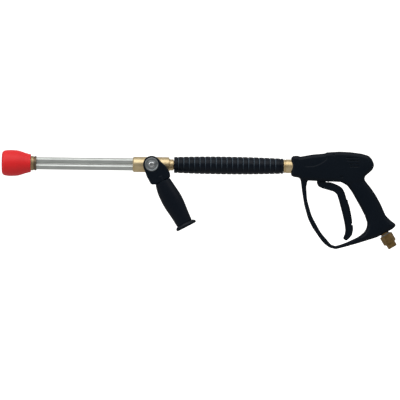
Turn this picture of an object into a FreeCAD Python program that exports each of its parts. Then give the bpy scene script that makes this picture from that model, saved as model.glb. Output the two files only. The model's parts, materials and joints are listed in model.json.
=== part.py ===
import FreeCAD, Part
import math
import os

# High-pressure trigger gun with a twin-tube lance, a turning side handle and a rubber nozzle guard.
# Millimetres, +Z up. While it is drawn, X=0 is the mouth of the gun and Z=0 the axis of the lance, which
# points along -X. At export everything moves so that the mouth of the hose inlet is the origin.

V = FreeCAD.Vector
ORIGIN = V(0, 0, 0)
AHEAD = V(-1, 0, 0)
BACK = V(1, 0, 0)
UP = V(0, 0, 1)
DOWN = V(0, 0, -1)
NEAR = V(0, -1, 0)

# Clearances, all radial or per side
running_gap = 0.08       # turning and sliding fits between metal parts
seat_gap = 0.05          # parts that are screwed or pressed home
shell_gap = 0.3          # metal parts in the moulded housing
free_gap = 0.3           # moulded and rubber parts that turn or slide past another body
valve_gap = 0.15         # lost motion of trigger and valves at rest

# Lance, from the gun forwards
collar_length = 16.5
collar_radius = 14.75
pipe_radius = 6.5
pipe_bore = 4.5
grip_length = 235.0
grip_bore = 13.2
ring_pitch = 11.6
ring_width = 9.0
groove_depth = 1.7
end_collar = 6.9         # plain length at the front of the ribbed grip
neck_length = 9.0
neck_radius = 12.5
manifold_length = 78.4
manifold_radius = 16.5
tube_radius = 6.5
tube_wall = 1.6
tube_spacing = 13.4
tube_length = 207.6      # the stretch that shows between manifold and nozzle holder
tube_socket = 15.0
tube_seal = 0.7          # half the section of the O-ring under each tube end
holder_radius = 15.5
holder_length = 40.0
holder_shown = 12.0      # the stretch of the holder behind the guard
nozzle_length = 12.0
nozzle_flats = 11.0
nozzle_thread = 4.8
guard_length = 62.0
guard_radius = 28.0
guard_lip = 19.6
guard_mouth = 19.0

collar_front = -collar_length
grip_rear = collar_front - 0.5
grip_front = grip_rear - grip_length
neck_rear = grip_front - 1.0
manifold_rear = neck_rear - neck_length
manifold_front = manifold_rear - manifold_length
holder_rear = manifold_front - tube_length
holder_front = holder_rear - holder_length
guard_rear = holder_rear - holder_shown
guard_front = guard_rear - guard_length

# Bypass valve: distances along Y from the middle of the manifold
hub_setback = 37.4       # from the rear face of the manifold to the middle of the hub
boss_radius = 12.0
boss_face = -22.0
gland_face = -24.5
gland_thread = 9.0
gland_inner_face = -16.0
collar_outer_face = -15.8
collar_inner_face = -12.2
spindle_collar = 6.8
spindle_journal = 4.6
chamber = 6.0
seat_inner = 2.4
needle_radius = 2.6

# Side handle
handle_tilt = 28.0
hub_inner = -25.0
hub_outer = -47.0
hub_radius = 18.5
disc_radius = 14.7
disc_thick = 1.2
drive_size = 9.5
handle_length = 153.0
handle_y = -40.0
handle_thick = 31.0
handle_offset = 4.0      # how far the core lies behind the middle line of the handle
core_radius = 8.0
shoulder_length = 43.0
flange_thick = 9.0
flange_screw = 1.85

# Gun housing
wall = 3.0
body_half = 19.0
grip_half = 16.75
bow_half = 11.0
slot_half = 9.3
slot_front = 50.0
slot_rear = 119.5
mouth_depth = 8.0
screw_radius = 2.0
screw_head = 3.6
boss_wall = 2.6

# Trigger and valve
pivot_x = 64.0
pivot_z = -26.0
pivot_radius = 2.5
trigger_half = 8.5
valve_x = 80.0
contact_z = -33.0         # top of the pad on the trigger
valve_radius = 11.0
valve_bottom = -14.0
valve_top = 22.0
barrel_radius = 9.5
barrel_front = 14.0
passage = 4.0
seat_top = 7.0
seat_bore = 2.9
ball_radius = 4.0
chamber_radius = 6.0
pin_radius = 2.0
plug_top = 26.5

# Hose inlet
inlet_z = 12.0
elbow_x = 110.5
elbow_radius = 26.0
grip_tilt = 31.0
inlet_outer = 6.5
nut_start = 183.4
nut_hex_length = 19.5
nut_length = 30.6
nut_flats = 25.0
thread_radius = 7.5
thread_depth = 14.0
spigot_radius = 6.0


def slope(tilt):
    """Direction in the XZ plane that leans back from straight down by tilt degrees."""
    angle = math.radians(tilt)
    return V(math.sin(angle), 0, -math.cos(angle))


def across(tilt):
    """Direction square to slope(tilt), towards the rear and up."""
    angle = math.radians(tilt)
    return V(math.cos(angle), 0, math.sin(angle))


elbow = V(elbow_x, 0, inlet_z)
inlet_way = slope(grip_tilt)
inlet_mouth = elbow + inlet_way * (nut_start + nut_length)
hub = V(manifold_rear - hub_setback, 0, 0)


def in_grip(along, side=0.0, y=0.0):
    """Point in the gun's grip: distance along the inlet tube from its elbow, and to its side."""
    return elbow + inlet_way * along + across(grip_tilt) * side + V(0, y, 0)


def in_handle(along, side=0.0, y=0.0):
    """Point in the side handle: distance along it from the hub, and to its side."""
    return hub + slope(handle_tilt) * along + across(handle_tilt) * side + V(0, y, 0)


def turned(profile, base=ORIGIN, direction=UP):
    """Solid of revolution from (distance along the axis, radius) points, closed onto the axis."""
    points = [V(radius, 0, along) for along, radius in profile]
    if profile[0][1] > 0:
        points.insert(0, V(0, 0, profile[0][0]))
    if profile[-1][1] > 0:
        points.append(V(0, 0, profile[-1][0]))
    face = Part.Face(Part.makePolygon(points + [points[0]]))
    solid = face.revolve(ORIGIN, UP, 360)
    solid.Placement = FreeCAD.Placement(base, FreeCAD.Rotation(UP, direction))
    return solid


def rod(start, end, radius):
    """Plain cylinder between two points."""
    return Part.makeCylinder(radius, (end - start).Length, start, end - start)


def ring(base, direction, length, outer, inner):
    """Plain ring or tube."""
    hole = Part.makeCylinder(inner, length, base, direction)
    return Part.makeCylinder(outer, length, base, direction).cut(hole)


def o_ring(centre, direction, radius, section):
    """Torus seal: radius to the middle of the section, and the section's own radius."""
    return Part.makeTorus(radius, section, centre, direction)


def hexagon(base, direction, flats, length, bevel=1.0):
    """Hexagonal prism with its corners turned down at both ends."""
    corner = flats / math.sqrt(3)
    points = [V(corner * math.cos(math.radians(a)), corner * math.sin(math.radians(a)), 0)
              for a in range(0, 361, 60)]
    prism = Part.Face(Part.makePolygon(points)).extrude(V(0, 0, length))
    turned_down = turned([(0, corner - bevel), (bevel, corner), (length - bevel, corner),
                          (length, corner - bevel)])
    prism = prism.common(turned_down)
    prism.Placement = FreeCAD.Placement(base, FreeCAD.Rotation(UP, direction))
    return prism


def box(x0, x1, y0, y1, z0, z1):
    """Block between two corners, given as its two limits along each axis."""
    return Part.makeBox(x1 - x0, y1 - y0, z1 - z0, V(x0, y0, z0))


def outline(corners):
    """Face in the XZ plane from (x, z, radius) corners. A rounding never takes over half of a side."""
    arcs = []
    count = len(corners)
    for i, (x, z, radius) in enumerate(corners):
        here = V(x, 0, z)
        to_last = V(corners[i - 1][0], 0, corners[i - 1][1]) - here
        to_next = V(corners[(i + 1) % count][0], 0, corners[(i + 1) % count][1]) - here
        half = to_last.getAngle(to_next) / 2
        reach = min(radius / math.tan(half), 0.49 * min(to_last.Length, to_next.Length))
        radius = reach * math.tan(half)
        to_last.normalize()
        to_next.normalize()
        inward = (to_last + to_next).normalize()
        top = here + inward * (radius / math.sin(half) - radius)
        arcs.append((here + to_last * reach, top, here + to_next * reach))
    edges = []
    for i, (start, top, end) in enumerate(arcs):
        edges.append(Part.Arc(start, top, end).toShape())
        edges.append(Part.LineSegment(end, arcs[(i + 1) % count][0]).toShape())
    return Part.Face(Part.Wire(edges))


def slab(face, half, middle=0.0):
    """Face in the XZ plane made thick by half to both sides of y=middle."""
    solid = face.copy()
    solid.translate(V(0, middle - half, 0))
    return solid.extrude(V(0, 2 * half, 0))


def round_faces(solid, half, radius, middle=0.0):
    """Round every edge of the two flat side faces at y=middle +- half."""
    edges = []
    for edge in solid.Edges:
        box_ = edge.BoundBox
        flat = box_.YLength < 1e-4
        if flat and abs(abs(box_.YMin - middle) - half) < 1e-4:
            edges.append(edge)
    return solid.makeFillet(radius, edges)


def fuse(first, *rest):
    """One solid from several that touch, without the seams between them."""
    return first.multiFuse(list(rest)).removeSplitter()


# --- Lance ----------------------------------------------------------------------------------------

def lance_tube(side):
    """One of the two straight tubes; side is +1 for the upper one. Its ends press on the seals."""
    inset = tube_socket - 2 * (tube_seal + seat_gap)
    start = V(holder_rear - inset, 0, side * tube_spacing / 2)
    return ring(start, BACK, manifold_front + inset - start.x, tube_radius, tube_radius - tube_wall)


def tube_seals():
    """O-rings at the bottom of the four tube sockets."""
    depth = tube_socket - tube_seal - seat_gap
    places = [V(x, 0, side * tube_spacing / 2) for side in (1, -1)
              for x in (holder_rear - depth, manifold_front + depth)]
    return Part.makeCompound([o_ring(place, BACK, tube_radius - tube_seal, tube_seal) for place in places])


def tube_sockets(face_x, way):
    """Blind bores for both tube ends, drilled from face_x along way (+1 or -1)."""
    direction = V(way, 0, 0)
    port_radius = tube_radius - tube_wall - 1
    port_depth = tube_socket + 8.0
    cuts = []
    for side in (1, -1):
        base = V(face_x, 0, side * tube_spacing / 2)
        cuts.append(Part.makeCylinder(tube_radius + seat_gap, tube_socket, base, direction))
        cuts.append(Part.makeCylinder(port_radius, port_depth, base, direction))
    return cuts


def nozzle_holder():
    """Turned head: tube sockets at the rear, a thread for each nozzle in front."""
    waist = holder_radius - 1.4
    body = turned([(0, holder_radius), (4, holder_radius), (4.4, waist), (5.8, waist), (6.2, holder_radius),
                   (holder_length - 1.5, holder_radius), (holder_length, holder_radius - 1.5)],
                  V(holder_rear, 0, 0), AHEAD)
    cuts = tube_sockets(holder_rear, -1)
    for side in (1, -1):
        base = V(holder_front, 0, side * tube_spacing / 2)
        cuts.append(Part.makeCylinder(nozzle_thread + seat_gap, 10, base, BACK))
        cuts.append(Part.makeCylinder(3, 20, base, BACK))
    retaining_groove = ring(V(holder_front + 9, 0, 0), AHEAD, 4, holder_radius + 1, holder_radius - 1.2)
    return body.cut(Part.makeCompound(cuts)).cut(retaining_groove)


def nozzle(side, orifice, fan_slot):
    """Screw-in tip with a hexagon, a stepped bore and a slot that spreads the jet."""
    base = V(holder_front, 0, side * tube_spacing / 2)
    hexed = hexagon(base, AHEAD, nozzle_flats, nozzle_length - 3.5, 0.6)
    tip = turned([(0, nozzle_thread), (nozzle_length - 3.5, 4.6), (nozzle_length - 0.8, 4.2),
                  (nozzle_length, 3.4)], base, AHEAD)
    thread = Part.makeCylinder(nozzle_thread, 9.5, base, BACK)
    bore = turned([(-10, 3), (6, 3), (7.5, orifice), (nozzle_length + 1, orifice)], base, AHEAD)
    slot = box(holder_front - nozzle_length - 1, holder_front - nozzle_length + 1.2, -5, 5,
               base.z - fan_slot, base.z + fan_slot)
    return fuse(hexed, tip, thread).cut(bore).cut(slot)


def nozzle_guard():
    """Thick rubber cup. A bead inside its sleeve holds it in the holder's groove."""
    length = guard_rear - guard_front
    rim = 8.0
    corner = [(length - rim + rim * math.sin(a), guard_radius - 0.8 - rim + rim * math.cos(a))
              for a in [math.radians(step) for step in (30, 60, 90)]]
    outer = turned([(0, guard_lip - 0.8), (0.8, guard_lip), (4.6, guard_lip + 0.6), (11, guard_lip + 2.1),
                    (17.5, guard_lip + 4.4), (24, guard_lip + 6.6), (30, guard_radius - 0.4),
                    (37, guard_radius), (52, guard_radius), (length - rim, guard_radius - 0.8)] + corner,
                   V(guard_rear, 0, 0), AHEAD)
    sleeve = guard_rear - holder_front
    bore = holder_radius + free_gap
    inner = turned([(-1, bore), (sleeve + 2, bore), (sleeve + 10, guard_mouth), (length - 4, guard_mouth),
                    (length - 1, guard_mouth + 0.6), (length + 1, guard_mouth + 2.6)],
                   V(guard_rear, 0, 0), AHEAD)
    return outer.cut(inner)


# --- Manifold and bypass valve --------------------------------------------------------------------

def manifold_body():
    """Brass bar with a cross bore for the bypass valve and oblique passages to the two tubes."""
    length = manifold_rear - manifold_front
    bar = turned([(0, manifold_radius - 2), (2, manifold_radius), (length - 1, manifold_radius),
                  (length, manifold_radius - 1)], V(manifold_front, 0, 0), BACK)
    boss = Part.makeCylinder(boss_radius, -boss_face, hub, NEAR)
    solid = fuse(bar, boss)
    tube_end = manifold_front + tube_socket
    half = tube_spacing / 2
    cuts = tube_sockets(manifold_front, 1)
    collar_room = spindle_collar + 0.2
    collar_floor = collar_inner_face + 0.2
    cuts.append(turned([(boss_face, gland_thread), (gland_inner_face, gland_thread),
                        (gland_inner_face, collar_room),
                        (collar_floor, collar_room), (collar_floor, chamber), (3, chamber), (3, 5), (12, 5)],
                       hub, V(0, 1, 0)))
    cuts.append(rod(V(tube_end, 0, half), hub + V(0, -6, 3), 2.5))
    cuts.append(rod(V(tube_end, 0, -half), hub + V(0, 9, 0), 2.5))
    cuts.append(Part.makeCylinder(8 + seat_gap, 15.5, V(manifold_rear, 0, 0), AHEAD))
    cuts.append(Part.makeCylinder(4, 19, V(manifold_rear, 0, 0), AHEAD))
    cuts.append(rod(V(manifold_rear - 18, 0, 0), hub + V(0, -8, 0), 3))
    return solid.cut(Part.makeCompound(cuts))


def needle_seat():
    """Steel ring with a 45 degree mouth, pressed into the cross bore."""
    body = Part.makeCylinder(chamber - seat_gap, 4, hub + V(0, -1, 0), V(0, 1, 0))
    return body.cut(turned([(-2, seat_inner + 3), (1, seat_inner), (4, seat_inner)], hub, V(0, 1, 0)))


def bypass_needle():
    """Needle with a cone that closes the seat. Its stem runs in the spindle."""
    back_off = valve_gap * math.sqrt(2)
    return turned([(-22, needle_radius), (-4, needle_radius), (-4, 4.4), (-1 - back_off, 4.4),
                   (2.9 - back_off, 0.5)], hub, V(0, 1, 0))


def handle_spindle():
    """Steel spindle: collar trapped by the gland, journal, and a square drive for the hub."""
    middle = (collar_inner_face + collar_outer_face) / 2
    groove = spindle_collar - 1.6
    half_groove = 0.95
    collar = turned([(collar_inner_face, spindle_collar), (middle + half_groove, spindle_collar),
                     (middle + half_groove, groove), (middle - half_groove, groove),
                     (middle - half_groove, spindle_collar), (collar_outer_face, spindle_collar),
                     (collar_outer_face, spindle_journal), (hub_inner - 1.5, spindle_journal)],
                    hub, V(0, 1, 0))
    drive_end = hub_outer + disc_thick + 0.5
    half = drive_size / 2
    drive = box(hub.x - half, hub.x + half, drive_end, hub_inner - 1.5, -half, half)
    drive.rotate(hub, V(0, 1, 0), -handle_tilt)
    needle_hole = Part.makeCylinder(needle_radius + running_gap, 14, hub + V(0, collar_inner_face, 0), NEAR)
    screw_hole = Part.makeCylinder(2.5 + seat_gap, 14, hub + V(0, drive_end, 0), V(0, 1, 0))
    return fuse(collar, drive).cut(needle_hole).cut(screw_hole)


def spindle_seal():
    middle = (collar_inner_face + collar_outer_face) / 2
    return o_ring(hub + V(0, middle, 0), NEAR, spindle_collar - 0.75, 0.8)


def manifold_gland():
    """Hexagon nut that screws into the boss and keeps the spindle in."""
    thread_start = hub + V(0, boss_face, 0)
    thread_end = hub + V(0, gland_inner_face, 0)
    thread = rod(thread_start, thread_end, gland_thread - seat_gap)
    head = hexagon(hub + V(0, boss_face, 0), NEAR, 20.0, boss_face - gland_face, 0.5)
    bore = Part.makeCylinder(spindle_journal + running_gap, 12, hub + V(0, gland_face - 1, 0), V(0, 1, 0))
    return fuse(thread, head).cut(bore)


def manifold_nipple():
    """Neck between the lance pipe and the manifold, with two turned grooves."""
    length = neck_rear - manifold_rear
    body = turned([(-15, 8), (0, 8), (0, neck_radius), (2.6, neck_radius), (3, neck_radius - 1.2),
                   (4, neck_radius - 1.2), (4.4, neck_radius), (6.8, neck_radius), (7.2, neck_radius - 1.2),
                   (8.2, neck_radius - 1.2), (8.6, neck_radius), (length, neck_radius), (length, 9.5),
                   (length + 15, 9.5)], V(manifold_rear, 0, 0), BACK)
    seal_groove = ring(V(manifold_rear - 9, 0, 0), BACK, 2, 9, 6.6)
    bore = turned([(-16, pipe_bore), (5, pipe_bore), (5, pipe_radius + seat_gap),
                   (length + 16, pipe_radius + seat_gap)], V(manifold_rear, 0, 0), BACK)
    return body.cut(seal_groove).cut(bore)


# --- Side handle ----------------------------------------------------------------------------------

def on_core(along):
    """Point on the axis of the core that carries the grip sleeve."""
    return in_handle(along, handle_offset, handle_y)


def handle_section(along, low, high, thick):
    """Oval section of the side handle at a distance from the hub, as a wire."""
    centre = in_handle(along, (low + high) / 2, handle_y)
    half_wide = (high - low) / 2
    half_thick = thick / 2
    if half_wide >= half_thick:
        oval = Part.Ellipse(centre + across(handle_tilt) * half_wide, centre + V(0, half_thick, 0), centre)
    else:
        oval = Part.Ellipse(centre + V(0, half_thick, 0), centre + across(handle_tilt) * half_wide, centre)
    return Part.Wire([oval.toShape()])


def handle_hub():
    """Hub, shoulder block and the core that carries the grip sleeve."""
    depth = hub_inner - hub_outer
    eye = Part.makeCylinder(hub_radius, depth, hub + V(0, hub_inner, 0), NEAR)
    corners = [(-2, -hub_radius + 0.3, 2), (18, -21.3, 12), (38, -21, 7), (41, -14, 4),
               (shoulder_length, -12, 2), (shoulder_length, 20, 2), (41, 24, 5), (33, 26.5, 9), (16, 25, 12),
               (-2, hub_radius - 0.3, 2)]
    points = []
    for along, side, radius in corners:
        place = in_handle(along, side)
        points.append((place.x, place.z, radius))
    middle = (hub_inner + hub_outer) / 2
    block = slab(outline(points), depth / 2, middle)
    block = round_faces(block, depth / 2, 1.8, middle)
    core_end = handle_length - flange_thick - 2
    core = rod(on_core(shoulder_length - 12), on_core(core_end), core_radius)
    solid = fuse(eye, block, core)
    recess = Part.makeCylinder(disc_radius + free_gap, disc_thick, hub + V(0, hub_outer, 0), V(0, 1, 0))
    half = drive_size / 2 + seat_gap
    drive_hole = box(hub.x - half, hub.x + half, hub_outer - 1, hub_inner + 1, -half, half)
    drive_hole.rotate(hub, V(0, 1, 0), -handle_tilt)
    end_hole = rod(on_core(core_end - 14), on_core(core_end), flange_screw + seat_gap)
    return solid.cut(recess).cut(drive_hole).cut(end_hole)


def handle_grip():
    """Oval grip sleeve, thickest in the middle of the palm."""
    end = handle_length - flange_thick
    sections = [(shoulder_length, -13, 21, 29), (55, -16, 22.5, 30.5), (90, -18.2, 26, handle_thick + 1),
                (125, -14.5, 23.5, 30), (end, -13, 22, 29)]
    body = Part.makeLoft([handle_section(*section) for section in sections], True, False)
    return body.cut(rod(on_core(shoulder_length - 1), on_core(end + 1), core_radius + seat_gap))


def handle_end_cap():
    """Flange that stops the hand, with a spigot and its screw in the core."""
    end = handle_length - flange_thick
    low, high, thick = -17.7, 28.4, 36.0
    sections = [(end, low + 4.5, high - 5.5, thick - 6), (end + 3.5, low + 0.5, high - 0.5, thick - 0.8),
                (end + 6.5, low, high, thick), (handle_length, low + 1.5, high - 1.5, thick - 2.4)]
    body = Part.makeLoft([handle_section(*section) for section in sections], True, True)
    spigot = rod(on_core(end - 14), on_core(end + 2), flange_screw)
    return fuse(body, spigot)


def handle_washer():
    """Dished steel disc under the centre screw, with a raised rim."""
    base = hub + V(0, hub_outer + disc_thick, 0)
    return turned([(0, disc_radius), (1.4, disc_radius), (1.8, disc_radius - 0.8), (1.8, disc_radius - 2.6),
                   (1.2, disc_radius - 3.4), (1.2, 8.6), (1.6, 8.2)], base, NEAR
                  ).cut(Part.makeCylinder(2.8, 4, base + V(0, 1, 0), NEAR))


def handle_screw():
    """Domed centre screw with a hexagon socket."""
    base = hub + V(0, hub_outer + disc_thick - 1.6, 0)
    head = turned([(0, 7), (1.6, 7), (3, 6.2), (4, 4.4), (4.4, 2.6)], base, NEAR)
    shank = Part.makeCylinder(2.5, 12, base, V(0, 1, 0))
    return fuse(head, shank).cut(hexagon(base + V(0, -5, 0), V(0, 1, 0), 4.0, 3.4, 0.1))


# --- Ribbed grip and pipe -------------------------------------------------------------------------

def barrel(x):
    """Outer radius of the ribbed grip along its length: a long barrel, fattest ahead of the middle."""
    share = (x - grip_front) / (grip_rear - grip_front)
    return 17.2 + 9.0 * share - 10.0 * share ** 2 if share < 0.45 else 19.24 - 9.7 * (share - 0.45) ** 2


def lance_grip():
    """Moulded sleeve with one slightly crowned ring after another."""
    ring_half = ring_width / 2
    side = 0.6
    flat = ring_pitch - ring_width - 2 * side
    profile = [(0, barrel(grip_front) - 1.0), (1.0, barrel(grip_front)),
               (end_collar - side, barrel(grip_front + end_collar)),
               (end_collar, barrel(grip_front + end_collar) - groove_depth)]
    first = grip_front + end_collar + flat + side + ring_half
    count = int((grip_rear - 4 - ring_half - first) / ring_pitch) + 1
    for i in range(count):
        middle = first + i * ring_pitch
        for offset, rise in ((-ring_half - side, -groove_depth), (-ring_half, -0.5), (-ring_half + 1.2, 0),
                             (ring_half - 1.2, 0), (ring_half, -0.5), (ring_half + side, -groove_depth)):
            x = middle + offset
            profile.append((x - grip_front, barrel(x) + rise))
    last = grip_rear - grip_front
    end = profile[-1][0] + flat
    profile += [(end, barrel(grip_front + end) - groove_depth), (end + side, barrel(grip_front + end) - 0.4),
                (last - 0.8, barrel(grip_rear)), (last, barrel(grip_rear) - 0.8)]
    body = turned(profile, V(grip_front, 0, 0), BACK)
    return body.cut(Part.makeCylinder(grip_bore, last + 2, V(grip_front - 1, 0, 0), BACK))


def grip_bush(start, length, inner):
    """Nylon bush that centres the ribbed grip."""
    return ring(V(start, 0, 0), BACK, length, grip_bore - seat_gap, inner + seat_gap)


def lance_pipe():
    start = manifold_rear + 5 + seat_gap
    return ring(V(start, 0, 0), BACK, -3 - seat_gap - start, pipe_radius, pipe_bore)


def outlet_collar():
    """Brass collar: socket for the pipe, step in the housing mouth, thread in the valve body."""
    edge = mouth_depth - collar_front - 0.5
    body = turned([(0, collar_radius - 0.8), (0.8, collar_radius), (2.6, collar_radius),
                   (3.0, collar_radius - 1),
                   (4.2, collar_radius - 1), (4.6, collar_radius), (edge - 1, collar_radius),
                   (edge, collar_radius - 1), (edge, 8), (barrel_front + 12 - collar_front, 8)],
                  V(collar_front, 0, 0), BACK)
    bore = turned([(-1, pipe_radius + seat_gap), (-3 - collar_front, pipe_radius + seat_gap),
                   (-3 - collar_front, passage), (60, passage)], V(collar_front, 0, 0), BACK)
    return body.cut(bore)


# --- Valve ----------------------------------------------------------------------------------------

thread_pocket = 12.5
plug_pocket = 18.0
ball_z = seat_top + math.sqrt(ball_radius ** 2 - seat_bore ** 2) + valve_gap


def valve_body():
    """Brass body: outlet barrel in front, inlet boss behind, valve bore from top to bottom."""
    column = Part.makeCylinder(valve_radius, valve_top - valve_bottom, V(valve_x, 0, valve_bottom), UP)
    barrel_ = Part.makeCylinder(barrel_radius + 1.3, valve_x - barrel_front, V(barrel_front, 0, 0), BACK)
    inlet = Part.makeCylinder(9.5, 17, V(valve_x, 0, inlet_z), BACK)
    cuts = [Part.makeCylinder(8 + seat_gap, thread_pocket + 1.5, V(barrel_front, 0, 0), BACK),
            Part.makeCylinder(passage, valve_x - barrel_front, V(barrel_front, 0, 0), BACK),
            Part.makeCylinder(passage, seat_top, V(valve_x, 0, -4), UP),
            Part.makeCylinder(5, 4, V(valve_x, 0, -8), UP),
            Part.makeCylinder(8 + seat_gap, 6, V(valve_x, 0, valve_bottom), UP),
            Part.makeCylinder(chamber_radius, valve_top - seat_top + 4, V(valve_x, 0, seat_top - 4), UP),
            Part.makeCylinder(7.5 + seat_gap, valve_top - plug_pocket, V(valve_x, 0, plug_pocket), UP),
            Part.makeCylinder(pipe_bore, 20, V(valve_x, 0, inlet_z), BACK),
            Part.makeCylinder(inlet_outer + seat_gap, 5, V(valve_x + 12, 0, inlet_z), BACK)]
    return fuse(column, barrel_, inlet).cut(Part.makeCompound(cuts))


def valve_seat():
    base = V(valve_x, 0, seat_top - 4)
    return ring(base, UP, 4, chamber_radius - seat_gap, seat_bore)


def valve_ball():
    return Part.makeSphere(ball_radius, V(valve_x, 0, ball_z))


spring_coil = 3.2
spring_wire = 0.45


def valve_spring():
    """Compression spring between the ball and the plug."""
    bottom = ball_z + ball_radius + spring_wire - 0.6
    top = plug_top - 3.0 - spring_wire - 0.1
    turns = 5
    helix = Part.makeHelix((top - bottom) / turns, top - bottom, spring_coil)
    section = Part.Wire([Part.Circle(V(spring_coil, 0, 0), V(0, 1, 0), spring_wire).toShape()])
    wire = Part.Wire(helix).makePipeShell([section], True, False)
    wire.translate(V(valve_x, 0, bottom))
    return wire


def valve_plug():
    """Hexagon plug over the spring, with a recess that the spring stands in."""
    thread = Part.makeCylinder(7.5, valve_top - plug_pocket - 0.1, V(valve_x, 0, plug_pocket + 0.1), UP)
    head = hexagon(V(valve_x, 0, valve_top + 1.0), UP, 17.0, plug_top - valve_top - 1.0, 0.6)
    neck = Part.makeCylinder(6.4, 1.2, V(valve_x, 0, valve_top - 0.1), UP)
    recess = Part.makeCylinder(4.4, plug_top - 3 - plug_pocket, V(valve_x, 0, plug_pocket), UP)
    return fuse(thread, head, neck).cut(recess)


def plug_seal():
    return o_ring(V(valve_x, 0, valve_top + 0.5), UP, 7.1, 0.49)


def push_pin():
    """Pin with domed ends between the trigger and the ball."""
    bottom = contact_z + valve_gap
    top = ball_z - ball_radius - 0.05
    dome = V(valve_x, 0, bottom + pin_radius)
    shank = rod(dome, V(valve_x, 0, top - 7), pin_radius)
    tip = Part.makeCylinder(1.5, 8, V(valve_x, 0, top - 8), UP)
    return fuse(shank, tip, Part.makeSphere(pin_radius, dome))


def pin_gland():
    base = V(valve_x, 0, valve_bottom)
    thread = Part.makeCylinder(8, 5.9, base, UP)
    head = hexagon(base, DOWN, 17.0, 4.0, 0.6)
    return fuse(thread, head).cut(Part.makeCylinder(pin_radius + running_gap, 20, base + V(0, 0, -8), UP))


def pin_seals():
    rings = [ring(V(valve_x, 0, z), UP, 1.8, 4.95, pin_radius + running_gap) for z in (-7.9, -6.0)]
    return Part.makeCompound(rings)


# --- Trigger --------------------------------------------------------------------------------------

def trigger():
    """Long lever: pivot boss and pad in the housing, curved finger blade below it."""
    corners = [(57.8, -19.4, 6), (70, -19.4, 3), (75.2, contact_z, 1.5), (85, contact_z, 20),
               (97.6, -37.8, 20), (106.3, -42, 20), (111.3, -46.8, 12), (116, -55.6, 20),
               (119.2, -66.5, 30), (123.7, -82, 60),
               (127.7, -101, 60), (129.8, -114, 60), (131, -123.8, 1), (134, -125, 1.5), (134.9, -134, 12),
               (132.6, -146, 9), (126.5, -153.8, 6), (119.6, -159, 3), (113.3, -153.6, 3), (117.3, -144, 12),
               (118.3, -135, 20), (115.8, -119, 60), (110.5, -97, 80), (103.3, -71, 30), (99.5, -59.6, 10),
               (93, -53.4, 14), (80.4, -50, 30), (67.6, -46.5, 10), (59.4, -42.7, 6), (55.4, -34.7, 9)]
    blade = round_faces(slab(outline(corners), trigger_half), trigger_half, 1.6)
    pin_hole = rod(V(pivot_x, -20, pivot_z), V(pivot_x, 20, pivot_z), pivot_radius + running_gap)
    latch_hole = rod(V(latch_x, -20, latch_z), V(latch_x, 20, latch_z), latch_pin_radius + seat_gap)
    room_half = latch_half + free_gap
    room = slab(outline(latch_corners).makeOffset2D(free_gap), room_half)
    knuckle = rod(V(latch_x, -room_half, latch_z), V(latch_x, room_half, latch_z), latch_eye + free_gap)
    behind = box(latch_x, latch_x + 20, -room_half, room_half, latch_z, latch_z + latch_eye)
    return blade.cut(room).cut(knuckle).cut(behind).cut(pin_hole).cut(latch_hole)


latch_x = 119.2
latch_z = -73.5
latch_half = 5.1
latch_eye = 3.4
latch_pin_radius = 1.0
latch_corners = [(latch_x - latch_eye, latch_z + latch_eye, latch_eye - 0.01),
                 (latch_x + latch_eye, latch_z + latch_eye, latch_eye - 0.01),
                 (latch_x + 4.0, latch_z - 2.5, 3), (latch_x + 6.9, -84, 20), (latch_x + 10.9, -101, 30),
                 (latch_x + 13.2, -114, 20),
                 (latch_x + 13.8, -122.6, 2), (latch_x + 9.4, -122.6, 3), (latch_x + 6.9, -111.6, 30),
                 (latch_x + 1.9, -88, 30), (latch_x - latch_eye, latch_z - 3.4, 4)]


def safety_latch():
    """Lock that lies in the trigger's rear edge and swings out against the grip."""
    blade = round_faces(slab(outline(latch_corners), latch_half), latch_half, 0.8)
    return blade.cut(rod(V(latch_x, -20, latch_z), V(latch_x, 20, latch_z), latch_pin_radius + running_gap))


# --- Housing --------------------------------------------------------------------------------------

body_corners = [(0, 18.6, 4.2), (4, 22.3, 4.5), (13, 23, 5), (19, 21, 4.5), (26, 22.3, 12), (46, 26, 60),
                (71, 28.4, 5), (76.5, 30.9, 5), (104, 32.9, 60), (127, 31.9, 60), (151, 29, 30),
                (166.6, 24.4, 10), (173.4, 17, 14), (178.6, 5, 12), (174.8, -5.4, 16), (158.8, -19.8, 10),
                (156, -31, 5),
                (121, -39.8, 6), (108, -32.6, 12), (60, -31.2, 60), (36, -30.2, 8), (22, -30.4, 5),
                (17.4, -24.2, 8),
                (6, -22.8, 6), (0, -19.4, 4.6)]

grip_corners = [(112, -12, 5), (113, -32.4, 5), (119.4, -37.6, 8), (131.5, -53.6, 60), (151.3, -87.8, 60),
                (160, -104.5, 30), (165.2, -120, 12), (163.7, -131, 12), (158.5, -140, 14), (146, -150.5, 5),
                (150.7, -162, 5), (185.5, -150.8, 40), (218.5, -132.8, 6), (228.6, -123.8, 5),
                (214.8, -113.4, 12), (204.3, -103.4, 20), (193.1, -78.7, 60), (182.6, -60, 60),
                (172, -44.8, 60), (159.6, -29.5, 12), (156.2, -22.5, 5), (163, -10, 5)]

bow_corners = [(20.5, -26, 5), (24.4, -55, 80), (29, -82, 60), (37.5, -112, 60), (46.9, -130.6, 60),
               (64.8, -156.2, 40), (73.5, -166, 20), (84.3, -174.2, 20), (98, -177.1, 16), (117, -172.2, 60),
               (153, -161.5, 5), (150, -148.3, 5), (120.5, -162.4, 40), (107.6, -167.2, 12), (97, -170.2, 9),
               (87.2, -166.8, 12), (64.7, -141, 60), (45.2, -106, 80), (34.9, -72, 80), (32.9, -44, 14),
               (36, -28, 5)]

# screw places: x, z, half width of the housing there, and whether they stand in the hollow part
screw_places = [(45.0, 16.8, body_half, True), (44.0, -17.0, body_half, True), (146.0, 12.0, body_half, True)]
for along, side in ((88.0, 15.0), (146.0, 13.5), (158.0, -29.0)):
    spot = in_grip(along, side)
    screw_places.append((spot.x, spot.z, grip_half, True))
screw_places += [(46.6, -118.0, bow_half, False), (97.0, -173.4, bow_half, False)]


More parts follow.
